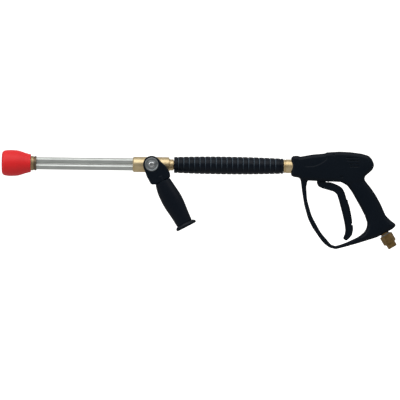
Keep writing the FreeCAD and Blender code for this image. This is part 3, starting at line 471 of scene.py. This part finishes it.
housing = {
    "body": [(0, 18.6, 4.2), (4, 22.3, 4.5), (13, 23, 5), (19, 21, 4.5), (26, 22.3, 12), (46, 26, 60),
             (71, 28.4, 5), (76.5, 30.9, 5), (104, 32.9, 60), (127, 31.9, 60), (151, 29, 30),
             (166.6, 24.4, 10), (173.4, 17, 14), (178.6, 5, 12), (174.8, -5.4, 16), (158.8, -19.8, 10),
             (156, -31, 5), (121, -39.8, 6), (108, -32.6, 12), (60, -31.2, 60), (36, -30.2, 8),
             (22, -30.4, 5), (17.4, -24.2, 8), (6, -22.8, 6), (0, -19.4, 4.6)],
    "grip": [(112, -12, 5), (113, -32.4, 5), (119.4, -37.6, 8), (131.5, -53.6, 60), (151.3, -87.8, 60),
             (160, -104.5, 30), (165.2, -120, 12), (163.7, -131, 12), (158.5, -140, 14), (146, -150.5, 5),
             (150.7, -162, 5), (185.5, -150.8, 40), (218.5, -132.8, 6), (228.6, -123.8, 5),
             (214.8, -113.4, 12), (204.3, -103.4, 20), (193.1, -78.7, 60), (182.6, -60, 60),
             (172, -44.8, 60), (159.6, -29.5, 12), (156.2, -22.5, 5), (163, -10, 5)],
    "bow": [(20.5, -26, 5), (24.4, -55, 80), (29, -82, 60), (37.5, -112, 60), (46.9, -130.6, 60),
            (64.8, -156.2, 40), (73.5, -166, 20), (84.3, -174.2, 20), (98, -177.1, 16), (117, -172.2, 60),
            (153, -161.5, 5), (150, -148.3, 5), (120.5, -162.4, 40), (107.6, -167.2, 12), (97, -170.2, 9),
            (87.2, -166.8, 12), (64.7, -141, 60), (45.2, -106, 80), (34.9, -72, 80), (32.9, -44, 14),
            (36, -28, 5)],
    "step": 0.9, "bodyHalf": 19.0, "gripHalf": 16.75, "bowHalf": 11.0,
    "bodyRound": 8.5, "gripRound": 9.5, "bowRound": 4.2, "wall": 3.0,
    "hoodLine": [(24, -1.2), (34, -0.9), (46, -0.4), (54, 1.6), (62, 5.4), (69, 9.6), (75, 14.0), (77, 20.0),
                 (75, 26.0), (73, 36.0)],
    "hoodRise": 0.75, "ventDepth": 1.0,
    "vents": [(117.7, 143.5, 19.5), (120.8, 144.9, 13.7), (124.7, 145.8, 7.0), (126.5, 145.0, 0.8)],
    "notches": [(90.5, 25.5, 2.4), (108.5, -21.3, 2.6)],
    "screws": [(45.0, 16.8), (44.0, -17.0), (146.0, 12.0)],
}
gripDown = np.array([math.sin(math.radians(31)), -math.cos(math.radians(31))])
gripAcross = np.array([math.cos(math.radians(31)), math.sin(math.radians(31))])
elbowPoint = np.array([110.5, 12.0])
print("housing ready")


# Near (side -1) or far (side +1) half: three rounded slabs joined with small fillets, a raised hood on
# the body, hollowed by the wall, and cut for mouth, trigger, hose inlet, screws and vents.
def housingField(side):
    bodyPath, gripPath, bowPath = (roundedPath(housing[k]) for k in ("body", "grip", "bow"))
    spots = list(housing["screws"])
    for along, across in ((88.0, 15.0), (146.0, 13.5), (158.0, -29.0)):
        spots.append(tuple(elbowPoint + gripDown * along + gripAcross * across))
    halves = [housing["bodyHalf"]] * 3 + [housing["gripHalf"]] * 3
    spots += [(46.6, -118.0), (97.0, -173.4)]
    halves += [housing["bowHalf"]] * 2
    nutTop = elbowPoint + gripDown * 160
    nutEnd = elbowPoint + gripDown * 200

    def field(x, y, z):
        flatBody, flatGrip, flatBow = (flatDistance(path, x, z) for path in (bodyPath, gripPath, bowPath))
        hood = openDistance(housing["hoodLine"], x, z)
        rise = housing["hoodRise"] * ramp(-hood, -0.9, 0.5) * ramp(x, 22, 40)
        crown = 0.8 * ramp(-flatBody, 0, 24)
        body = thick(flatBody, y, housing["bodyHalf"] - 1.7 + rise + crown, housing["bodyRound"])
        swell = 0.7 * ramp(-flatGrip, 4, 18)
        grip = thick(flatGrip, y, housing["gripHalf"] - 0.7 + swell, housing["gripRound"])
        bow = thick(flatBow, y, housing["bowHalf"], housing["bowRound"])
        whole = join(join(body, grip, 2.2), bow, 4.0)
        depth = -whole
        for start, end, height in housing["vents"]:
            pastEnd = np.maximum(np.abs(x - (start + end) / 2) - (end - start) / 2, 0)
            slotFlat = np.hypot(pastEnd, z - height) - 0.8
            whole = cut(whole, np.maximum(slotFlat, depth - housing["ventDepth"]), 0.5)
        for spotX, spotZ, radius in housing["notches"]:
            whole = cut(whole, np.maximum(np.hypot(x - spotX, z - spotZ) - radius, depth - 1.4), 0.6)
        inner = np.minimum(thick(flatBody, y, housing["bodyHalf"] - 0.8, 6) + housing["wall"],
                           thick(flatGrip, y, housing["gripHalf"], 6) + housing["wall"])
        whole = cut(whole, inner, 0.2)
        whole = cut(whole, rodField(x, y, z, (-5, 0, 0), (9, 0, 0), 15.05))
        whole = cut(whole, boxField(x, y, z, (50, -9.3, -60), (119.5, 9.3, -16.5)))
        whole = cut(whole, rodField(x, y, z, (nutTop[0], 0, nutTop[1]), (nutEnd[0], 0, nutEnd[1]), 9.35))
        if side > 0:
            for (spotX, spotZ), half in zip(spots, halves):
                whole = cut(whole, np.maximum(np.hypot(x - spotX, z - spotZ) - 3.95, half - 3.25 - y), 0.5)
        return cut(whole, side * y - 0.1, 0.5)
    return field


def makeHousing(side, name, node):
    half = housing["bodyHalf"] + 2
    low = (-2, -half if side < 0 else -1, -180)
    high = (231, 1 if side < 0 else half, 35)
    points, quads = skin(housingField(side), low, high, housing["step"])
    return addPiece(name, points, quads, "gun", [node], blackHousing, sharpDeg=60)


makeHousing(-1, "housingNear", "housing_left")
makeHousing(1, "housingFar", "housing_right")
print("stage housing")


lever = {
    "outline": [(57.8, -19.4, 6), (70, -19.4, 3), (75.2, -33, 1.5), (85, -33, 20), (97.6, -37.8, 20),
                (106.3, -42, 20), (111.3, -46.8, 12), (116, -55.6, 20), (119.2, -66.5, 30), (123.7, -82, 60),
                (127.7, -101, 60), (129.8, -114, 60), (131, -123.8, 1), (134, -125, 1.5), (134.9, -134, 12),
                (132.6, -146, 9), (126.5, -153.8, 6), (119.6, -159, 3), (113.3, -153.6, 3), (117.3, -144, 12),
                (118.3, -135, 20), (115.8, -119, 60), (110.5, -97, 80), (103.3, -71, 30), (99.5, -59.6, 10),
                (93, -53.4, 14), (80.4, -50, 30), (67.6, -46.5, 10), (59.4, -42.7, 6), (55.4, -34.7, 9)],
    "half": 8.5, "round": 2.6, "step": 0.7, "pivot": (64.0, -26.0), "pinHole": 2.58,
    "ribRoom": 1.1, "ribInset": 3.4,
}
latch = {
    "outline": [(115.8, -70.1, 3.39), (122.6, -70.1, 3.39), (123.2, -76, 3), (126.1, -84, 20),
                (130.1, -101, 30), (132.4, -114, 20), (133, -122.6, 2), (128.6, -122.6, 3),
                (126.1, -111.6, 30), (121.1, -88, 30), (115.8, -76.9, 4)],
    "pivot": (119.2, -73.5), "half": 5.1, "round": 1.2, "step": 0.5, "gap": 0.3, "eye": 3.4, "pinHole": 1.08,
}


# Rounded blade, less the room for the latch and the pivot pin, with shallow relief on both flanks.
def leverField():
    bladePath, latchPath = roundedPath(lever["outline"]), roundedPath(latch["outline"])
    room = latch["half"] + latch["gap"]
    pivotX, pivotZ = lever["pivot"]
    eyeX, eyeZ = latch["pivot"]

    def field(x, y, z):
        flat = flatDistance(bladePath, x, z)
        blade = thick(flat, y, lever["half"], lever["round"])
        flank = np.maximum(flat + lever["ribInset"], z + 50)
        blade = cut(blade, np.maximum(flank, lever["half"] - lever["ribRoom"] - np.abs(y)), 0.9)
        nearLatch = flatDistance(latchPath, x, z) - latch["gap"]
        eye = np.hypot(x - eyeX, z - eyeZ) - latch["eye"] - latch["gap"]
        behind = np.maximum(np.maximum(eyeX - x, eyeZ - z), z - eyeZ - latch["eye"])
        pocket = np.maximum(np.minimum(np.minimum(nearLatch, eye), behind), np.abs(y) - room)
        blade = cut(blade, pocket, 0.3)
        return cut(blade, np.hypot(x - pivotX, z - pivotZ) - lever["pinHole"] + 0 * y, 0.3)
    return field


def latchField():
    path = roundedPath(latch["outline"])

    def field(x, y, z):
        blade = thick(flatDistance(path, x, z), y, latch["half"], latch["round"])
        hole = np.hypot(x - latch["pivot"][0], z - latch["pivot"][1]) - latch["pinHole"]
        return cut(blade, hole + 0 * y, 0.2)
    return field


points, quads = skin(leverField(), (53, -10, -161), (137, 10, -17), lever["step"])
addPiece("triggerBlade", points, quads, "trigger", ["trigger"], blackHousing, sharpDeg=60)
points, quads = skin(latchField(), (114, -6, -124), (135, 6, -69), latch["step"])
addPiece("latchBlade", points, quads, "latch", ["safety_latch"], blackHousing, sharpDeg=60)
print("stage trigger")


sideHandle = {
    "hub": (-299.4, 0.0), "tiltDeg": 28.0, "middle": -36.0, "half": 11.0, "hubRadius": 18.5, "round": 2.4,
    "block": [(-2, -18.2, 2), (18, -21.3, 12), (38, -21, 7), (41, -14, 4), (43, -12, 2), (43, 20, 2),
              (41, 24, 5), (33, 26.5, 9), (16, 25, 12), (-2, 18.2, 2)],
    "recess": 15.0, "recessDepth": 1.2, "drive": 9.6, "core": 8.0, "coreSide": 4.0, "coreY": -40.0,
    "coreStart": 31, "coreEnd": 142.0, "step": 0.75, "gripRim": 1.2, "footRim": 2.5, "coreGap": 0.05,
    "grip": [(43, -13, 21, 29), (55, -16, 22.5, 30.5), (90, -18.2, 26, 32), (125, -14.5, 23.5, 30),
             (144, -13, 22, 29)],
    "flange": [(144, -13.2, 22.9, 30), (147.5, -17.2, 27.9, 35.2), (150.5, -17.7, 28.4, 36),
               (153, -16.2, 26.9, 33.6)],
}
tilt = math.radians(sideHandle["tiltDeg"])
handleDown = np.array([math.sin(tilt), -math.cos(tilt)])
handleAcross = np.array([math.cos(tilt), math.sin(tilt)])


# Along and across the handle to x and z.
def inHandle(along, side):
    return (sideHandle["hub"][0] + along * handleDown[0] + side * handleAcross[0],
            sideHandle["hub"][1] + along * handleDown[1] + side * handleAcross[1])


# Round eye and shoulder block as one rounded slab, with the core bar, disc recess and square drive.
def hubField():
    corners = [inHandle(along, side) + (radius,) for along, side, radius in sideHandle["block"]]
    blockPath = roundedPath(corners)
    hubX, hubZ = sideHandle["hub"]
    front = sideHandle["middle"] - sideHandle["half"]
    coreStart = inHandle(sideHandle["coreStart"], sideHandle["coreSide"])
    coreEnd = inHandle(sideHandle["coreEnd"], sideHandle["coreSide"])
    coreY = sideHandle["coreY"]

    def field(x, y, z):
        eye = np.hypot(x - hubX, z - hubZ) - sideHandle["hubRadius"]
        flat = join(eye, flatDistance(blockPath, x, z), 3.0)
        solid = thick(flat, y - sideHandle["middle"], sideHandle["half"], sideHandle["round"])
        core = rodField(x, y, z, (coreStart[0], coreY, coreStart[1]), (coreEnd[0], coreY, coreEnd[1]),
                        sideHandle["core"])
        solid = join(solid, core, 0.6)
        recess = np.maximum(np.hypot(x - hubX, z - hubZ) - sideHandle["recess"],
                            y - front - sideHandle["recessDepth"])
        solid = cut(solid, recess, 0.3)
        u = (x - hubX) * handleDown[0] + (z - hubZ) * handleDown[1]
        v = (x - hubX) * handleAcross[0] + (z - hubZ) * handleAcross[1]
        square = np.maximum(np.abs(u), np.abs(v)) - sideHandle["drive"] / 2
        return cut(solid, square + 0 * y, 0.3)
    return field


# Smooth curve through table rows (along, value...): Hermite pieces with slopes from the neighbours.
def through(table, along):
    table = np.array(table, float)
    at, values = table[:, 0], table[:, 1:]
    slopes = np.gradient(values, at, axis=0)
    i = np.clip(np.searchsorted(at, along) - 1, 0, len(at) - 2)
    span = (at[i + 1] - at[i])[:, None]
    t = ((along - at[i]) / span[:, 0])[:, None]
    return ((2 * t ** 3 - 3 * t ** 2 + 1) * values[i] + (t ** 3 - 2 * t ** 2 + t) * span * slopes[i]
            + (3 * t ** 2 - 2 * t ** 3) * values[i + 1] + (t ** 3 - t ** 2) * span * slopes[i + 1])


# Rows of points round the handle: superellipse |u/a|^p + |v/b|^p = 1 between low and high.
def ovalRows(along, sizes, power=2.25, sides=96):
    angle = np.linspace(0, 2 * math.pi, sides, endpoint=False)
    c, s = np.cos(angle), np.sin(angle)
    c, s = np.sign(c) * np.abs(c) ** (2 / power), np.sign(s) * np.abs(s) ** (2 / power)
    low, high, thickness = sizes.T
    side = (low + high)[:, None] / 2 + (high - low)[:, None] / 2 * c
    y = sideHandle["coreY"] + thickness[:, None] / 2 * s
    x, z = inHandle(along[:, None], side)
    return np.stack([x, y, z], -1)


# Closes the first and last row of a tube of points with a fan each.
def capped(rows):
    count, sides = rows.shape[:2]
    points = np.concatenate([rows.reshape(-1, 3), rows[0].mean(0)[None], rows[-1].mean(0)[None]])
    faces = gridFaces(count, sides).tolist()
    first, last = count * sides, count * sides + 1
    end = (count - 1) * sides
    for j in range(sides):
        k = (j + 1) % sides
        faces.append([first, j, k])
        faces.append([last, end + k, end + j])
    return points, faces


# Palm-shaped sleeve round the core: smooth outside, plain bore, rims rounded by 1.2 mm.
def handleSleeve():
    start, end = sideHandle["grip"][0][0], sideHandle["grip"][-1][0]
    along = np.linspace(start, end, 90)
    sizes = through(sideHandle["grip"], along)
    inset = rimInset(np.minimum(along - start, end - along), sideHandle["gripRim"])
    sizes = sizes + inset[:, None] * np.array([1, -1, -2])
    outer = ovalRows(along, sizes)
    bore = sideHandle["core"] + sideHandle["coreGap"]
    centre = sideHandle["coreSide"]
    circle = np.array([centre - bore, centre + bore, 2 * bore])
    inner = ovalRows(along[::-1], np.repeat(circle[None], len(along), 0), power=2.0)
    rows = np.concatenate([outer, inner])
    return rows.reshape(-1, 3), gridFaces(*rows.shape[:2], closeRows=True)


# Flared foot of the handle with a rounded edge and a flat end closed by shrinking rings.
def handleFlange():
    start, top = sideHandle["flange"][0][0], sideHandle["flange"][2][0]
    rim = sideHandle["footRim"]
    along = np.linspace(start, top, 16)
    sizes = through(sideHandle["flange"], along)
    turn = np.linspace(0, math.pi / 2, 8)[1:]
    edge = sizes[-1] + np.outer(rim * (1 - np.cos(turn)), [1, -1, -2])
    shrink = np.linspace(0.85, 0.05, 10)
    middle = np.array([(edge[-1, 0] + edge[-1, 1]) / 2] * 2 + [0])
    crown = middle + (edge[-1] - middle) * shrink[:, None]
    along = np.concatenate([along, top + rim * np.sin(turn), top + rim + 0.0 * shrink])
    return capped(ovalRows(along, np.concatenate([sizes, edge, crown])))


points, quads = skin(hubField(), (-320, -49, -133), (-222, -24, 20), sideHandle["step"])
addPiece("handleHubMoulded", points, quads, "side_handle", ["handle_hub"], blackHousing,
         sharpDeg=60)
points, quads = handleSleeve()
addPiece("handleSleeve", points, quads, "side_handle", ["handle_grip"], blackGrip)
points, faces = handleFlange()
addPiece("handleFlange", points, faces, "side_handle", ["handle_end_cap"], blackGrip)
print("stage side handle")


ribbed = {"front": -252.0, "rear": -17.0, "plain": 6.9, "pitch": 11.6, "ring": 8.9, "depth": 1.0,
          "flank": 0.9, "crown": 0.15, "arc": 0.55, "rim": 1.4, "bore": 13.2, "sides": 112, "step": 0.42}


# Long barrel, fattest ahead of the middle.
def barrelRadius(x):
    share = (x - ribbed["front"]) / (ribbed["rear"] - ribbed["front"])
    return np.where(share < 0.45, 17.2 + 9.0 * share - 10.0 * share ** 2, 19.24 - 9.7 * (share - 0.45) ** 2)


# Barrel less a groove in each pitch: radius = barrel - depth in the grooves, with rings crowned by a
# cosine and shoulders rounded over the flank.
def ribbedSleeve():
    front, rear = ribbed["front"], ribbed["rear"]
    x = np.arange(front, rear + 0.01, ribbed["step"])
    x = np.append(x[:-1], rear)
    half = ribbed["ring"] / 2
    groove = ribbed["pitch"] - ribbed["ring"]
    first = front + ribbed["plain"] + groove + half
    count = int((rear - 4 - half - first + 0.6 - ribbed["flank"]) / ribbed["pitch"]) + 1
    number = np.clip(np.round((x - first) / ribbed["pitch"]), 0, count - 1)
    off = np.abs(x - first - number * ribbed["pitch"])
    solid = (x < front + ribbed["plain"]) | (x > first + (count - 1) * ribbed["pitch"] + half + groove)
    down = np.where(solid, 0, ramp(off, half - 0.1, half + ribbed["flank"]) * ribbed["depth"]
                    + ribbed["crown"] * (1 - np.cos(np.clip(off / half, 0, 1) * math.pi)) / 2)
    down = down + rimInset(np.minimum(x - front, rear - x), ribbed["rim"])
    profile = np.stack([x, barrelRadius(x) - down], -1)
    bore = np.stack([x[::-4], np.full(len(x[::-4]), ribbed["bore"])], -1)
    fromEdge = x - first - number * ribbed["pitch"] + half
    paintedHighlight = np.where(solid, 0, np.exp(-(fromEdge / ribbed["arc"]) ** 2))  # painted highlight on the leading edge of each ring
    paintedHighlight = np.repeat(np.append(paintedHighlight, np.zeros(len(bore))), ribbed["sides"])
    points, quads = lathe(np.concatenate([profile, bore]), ribbed["sides"])
    # the painted highlight is full on the upper side of the grip and fades out towards its underside
    return points, quads, paintedHighlight * ramp(points[:, 2], -16, 12)


points, quads, paintedHighlight = ribbedSleeve()
ribbedPiece = addPiece("ribbedSleeve", points, quads, "gun", ["lance_grip"], ribbedPlastic,
                       sharpDeg=50)
paintedHighlightValues = ribbedPiece.data.attributes.new("paintedHighlight", "FLOAT", "POINT").data
paintedHighlightValues.foreach_set("value", paintedHighlight.astype(np.float32))
print("stage ribbed grip")


guard = {"rear": -560.0, "bell": 54.0, "radius": 27.2, "rim": 8.0,
         "outer": [(0.0, 18.9), (0.9, 19.6), (4.6, 20.1), (5.6, 20.6), (11, 22.0), (17.5, 24.3), (24, 26.3),
                   (30, 27.5), (37, 28.0), (48, 28.0), (54, 27.2)],
         "inner": [(61.2, 19.9), (59, 19.2), (57, 19.0), (30, 19.0), (24, 18.6), (17, 16.4), (15, 15.9),
                   (14, 15.8), (0.6, 15.8), (0.1, 16.3)]}


# Pressed cup: bell outside, front rim rounded on a quarter circle, sleeve and flared mouth inside.
def guardCup():
    along = np.linspace(0, guard["bell"], 80)
    bell = through(guard["outer"], along)[:, 0]
    turn = np.linspace(0, math.pi / 2, 14)[1:]
    rimX = guard["bell"] + guard["rim"] * np.sin(turn)
    rimR = guard["radius"] - guard["rim"] + guard["rim"] * np.cos(turn)
    profile = np.concatenate([np.stack([along, bell], -1), np.stack([rimX, rimR], -1), guard["inner"]])
    profile[:, 0] = guard["rear"] - profile[:, 0]
    return lathe(profile, 128)


points, quads = guardCup()
addPiece("guardCup", points, quads[:, ::-1], "guard", ["nozzle_guard"], redGuard, sharpDeg=50)
print("stage guard")


# Closed (distance, radius) profile turned about the line from base along way.
def turnedPart(name, profile, body, replaced, material, base=(0, 0, 0), way=(1, 0, 0), sides=96):
    points, quads = lathe(profile, sides)
    along, y, z = points.T
    way = Vector(way).normalized()
    first = way.cross(Vector((0, 1, 0)) if abs(way.y) < 0.9 else Vector((0, 0, 1))).normalized()
    second = way.cross(first)
    points = (np.array(base) + along[:, None] * np.array(way) + y[:, None] * np.array(first)
              + z[:, None] * np.array(second))
    area = sum(a[0] * b[1] - b[0] * a[1] for a, b in zip(profile, profile[1:] + profile[:1]))
    quads = quads if area < 0 else quads[:, ::-1]
    return addPiece(name, points, quads, body, replaced, material, sharpDeg=32)


# Profile with each corner broken by a small two-step round.
def broken(profile, size=0.35):
    result = []
    count = len(profile)
    for i in range(count):
        here, last, after = (np.array(profile[k % count], float) for k in (i, i - 1, i + 1))
        toLast, toNext = last - here, after - here
        reach = min(size, 0.4 * np.linalg.norm(toLast), 0.4 * np.linalg.norm(toNext))
        a = here + toLast / np.linalg.norm(toLast) * reach
        b = here + toNext / np.linalg.norm(toNext) * reach
        result += [tuple(a), tuple(0.25 * a + 0.5 * here + 0.25 * b), tuple(b)]
    return result


collar = [(0, 13.95), (0.8, 14.75), (2.6, 14.75), (3.0, 13.75), (4.2, 13.75), (4.6, 14.75), (23, 14.75),
          (24, 13.75), (24, 8), (42.5, 8), (42.5, 4), (13.5, 4), (13.5, 6.55), (0, 6.55)]
turnedPart("collarTurned", broken(collar), "gun", ["outlet_collar"], brassTurned, base=(-16.5, 0, 0))

neck = [(-15, 8), (0, 8), (0, 12.5), (2.6, 12.5), (3, 11.3), (4, 11.3), (4.4, 12.5), (6.8, 12.5), (7.2, 11.3),
        (8.2, 11.3), (8.6, 12.5), (9, 12.5), (9, 9.5), (24, 9.5), (24, 6.55), (5, 6.55), (5, 4.5), (-15, 4.5)]
turnedPart("neckTurned", broken(neck, 0.25), "gun", ["manifold_nipple"], brassTurned,
           base=(-262, 0, 0))

disc = {"hub": (-299.4, -45.8, 0.0), "outward": (0, -1, 0)}
washer = [(0, 14.7), (1.4, 14.7), (1.9, 13.9), (1.9, 12.6), (1.1, 11.6), (0.9, 9.2), (1.3, 8.3), (1.3, 2.85),
          (0, 2.85)]
turnedPart("washerTurned", broken(washer, 0.3), "side_handle", ["handle_washer"], steelZinc,
           base=disc["hub"], way=disc["outward"])


# Domed screw head. Its socket is a plain round one, which is simpler than a hexagon.
def screwHead():
    turn = np.linspace(0, math.pi / 2, 12)
    dome = [(1.5 + 2.9 * math.sin(a), 2.4 + 4.2 * math.cos(a)) for a in turn]
    return [(-12, 2.5), (-1.6, 2.5), (0.2, 2.7), (1.31, 2.7), (1.31, 7.6), (1.5, 7.6)] + dome + [
        (4.4, 2.2), (2.6, 2.0), (2.6, 0.02), (-12, 0.02)]


turnedPart("screwTurned", screwHead(), "side_handle", ["handle_screw"], steelBright,
           base=disc["hub"], way=disc["outward"])

tubes = {"height": 6.7, "radius": 6.5, "bore": 4.9, "edge": 0.2}
for tubeName, tubeHeight in (("tube_upper", tubes["height"]), ("tube_lower", -tubes["height"])):
    tubeStart, tubeEnd = nodeSpan(tubeName)
    length, radius, edge = tubeEnd.x - tubeStart.x, tubes["radius"], tubes["edge"]
    tube = [(0, radius - edge), (edge, radius), (length - edge, radius), (length, radius - edge),
            (length, tubes["bore"]), (0, tubes["bore"])]
    turnedPart(tubeName + "Drawn", tube, "gun", [tubeName], steelDrawn,
               base=(tubeStart.x, 0, tubeHeight), sides=72)
print("stage metal")


studio = {"floor": "#F6F6F4", "glow": 1.08, "white": 1.08, "room": 0.22, "below": 0.2, "above": 0.5,
          "floorSize": 60.0, "floorGap": 0.0005, "backdropRadius": 24.0,
          "key": 16.0, "keyPlace": (-0.1, -1.0, 1.4), "keySize": (3.0, 1.5),
          "side": 6.0, "sidePlace": (-1.9, -1.0, 0.7), "sideSize": (0.4, 1.2),
          "distance": 7.17, "lens": 300.0, "rollDeg": 0.69, "aim": (-195.2, 0.0, -74.8)}


def areaLight(name, place, size, power, aim):
    light = bpy.data.lights.new(name, "AREA")
    light.shape = "RECTANGLE"
    light.size, light.size_y = size
    light.energy = power
    lamp = bpy.data.objects.new(name, light)
    bpy.context.scene.collection.objects.link(lamp)
    lamp.location = aim + Vector(place)
    lamp.rotation_euler = (aim - lamp.location).to_track_quat("-Z", "Y").to_euler()


# Dim room round the part: darkest level with the camera, lighter below and above.
def makeRoom():
    world = bpy.data.worlds.new("studioRoom")
    bpy.context.scene.world = world
    world.use_nodes = True
    background = world.node_tree.nodes["Background"]
    background.inputs["Color"].default_value = (1, 1, 1, 1)
    up = addNode(world, "ShaderNodeSeparateXYZ", inputs={
        "Vector": addNode(world, "ShaderNodeTexCoord").outputs["Generated"]}).outputs["Z"]
    below = addNode(world, "ShaderNodeMapRange", inputs={
        "Value": up, "From Min": -0.05, "From Max": -0.45, "To Min": 0.0, "To Max": studio["below"]})
    above = addNode(world, "ShaderNodeMapRange", inputs={
        "Value": up, "From Min": 0.0, "From Max": 0.7, "To Min": studio["room"], "To Max": studio["above"]})
    light = addNode(world, "ShaderNodeMath", {"operation": "ADD"}, {
        0: below.outputs["Result"], 1: above.outputs["Result"]})
    world.node_tree.links.new(light.outputs["Value"], background.inputs["Strength"])


# The white boards are only seen: they throw no light on the part and take no shadow from it.
def keepLightOff(board):
    board.visible_diffuse = board.visible_glossy = board.visible_transmission = board.visible_shadow = False


def whiteBoard(name, colour, glow):
    material, shader = newMaterial(name, colour, 0.9)
    shader.inputs["Emission Color"].default_value = linear(colour)
    shader.inputs["Emission Strength"].default_value = glow
    return material


def makeStudio():
    low, high = cadBox
    bpy.ops.mesh.primitive_plane_add(size=studio["floorSize"], location=(0, 0, low.z - studio["floorGap"]))
    floor = bpy.context.object
    floor.name = "studioFloor"
    floor.data.materials.append(whiteBoard("PaintedBoard", studio["floor"], studio["glow"]))
    keepLightOff(floor)
    bpy.ops.mesh.primitive_uv_sphere_add(segments=48, ring_count=24, radius=studio["backdropRadius"])
    backdrop = bpy.context.object
    backdrop.name = "studioBackdrop"
    backdrop.data.materials.append(whiteBoard("PaperBackdrop", studio["floor"], studio["white"]))
    keepLightOff(backdrop)
    makeRoom()
    centre = (low + high) / 2
    areaLight("keyLight", studio["keyPlace"], studio["keySize"], studio["key"], centre)
    areaLight("sideLight", studio["sidePlace"], studio["sideSize"], studio["side"], centre)
    camera = bpy.data.cameras.new("camera")
    camera.lens = studio["lens"]
    camera.sensor_width = 36
    view = bpy.data.objects.new("camera", camera)
    bpy.context.scene.collection.objects.link(view)
    aim = Vector(studio["aim"]) * mm + mouthPoint
    view.location = aim + Vector((0, -studio["distance"], 0))
    turn = (aim - view.location).to_track_quat("-Z", "Y").to_matrix().to_4x4()
    roll = Matrix.Rotation(math.radians(studio["rollDeg"]), 4, "Z")
    view.matrix_world = Matrix.Translation(view.location) @ turn @ roll
    bpy.context.scene.camera = view


makeStudio()
bpy.context.scene.view_settings.view_transform = "Standard"
print("stage done")
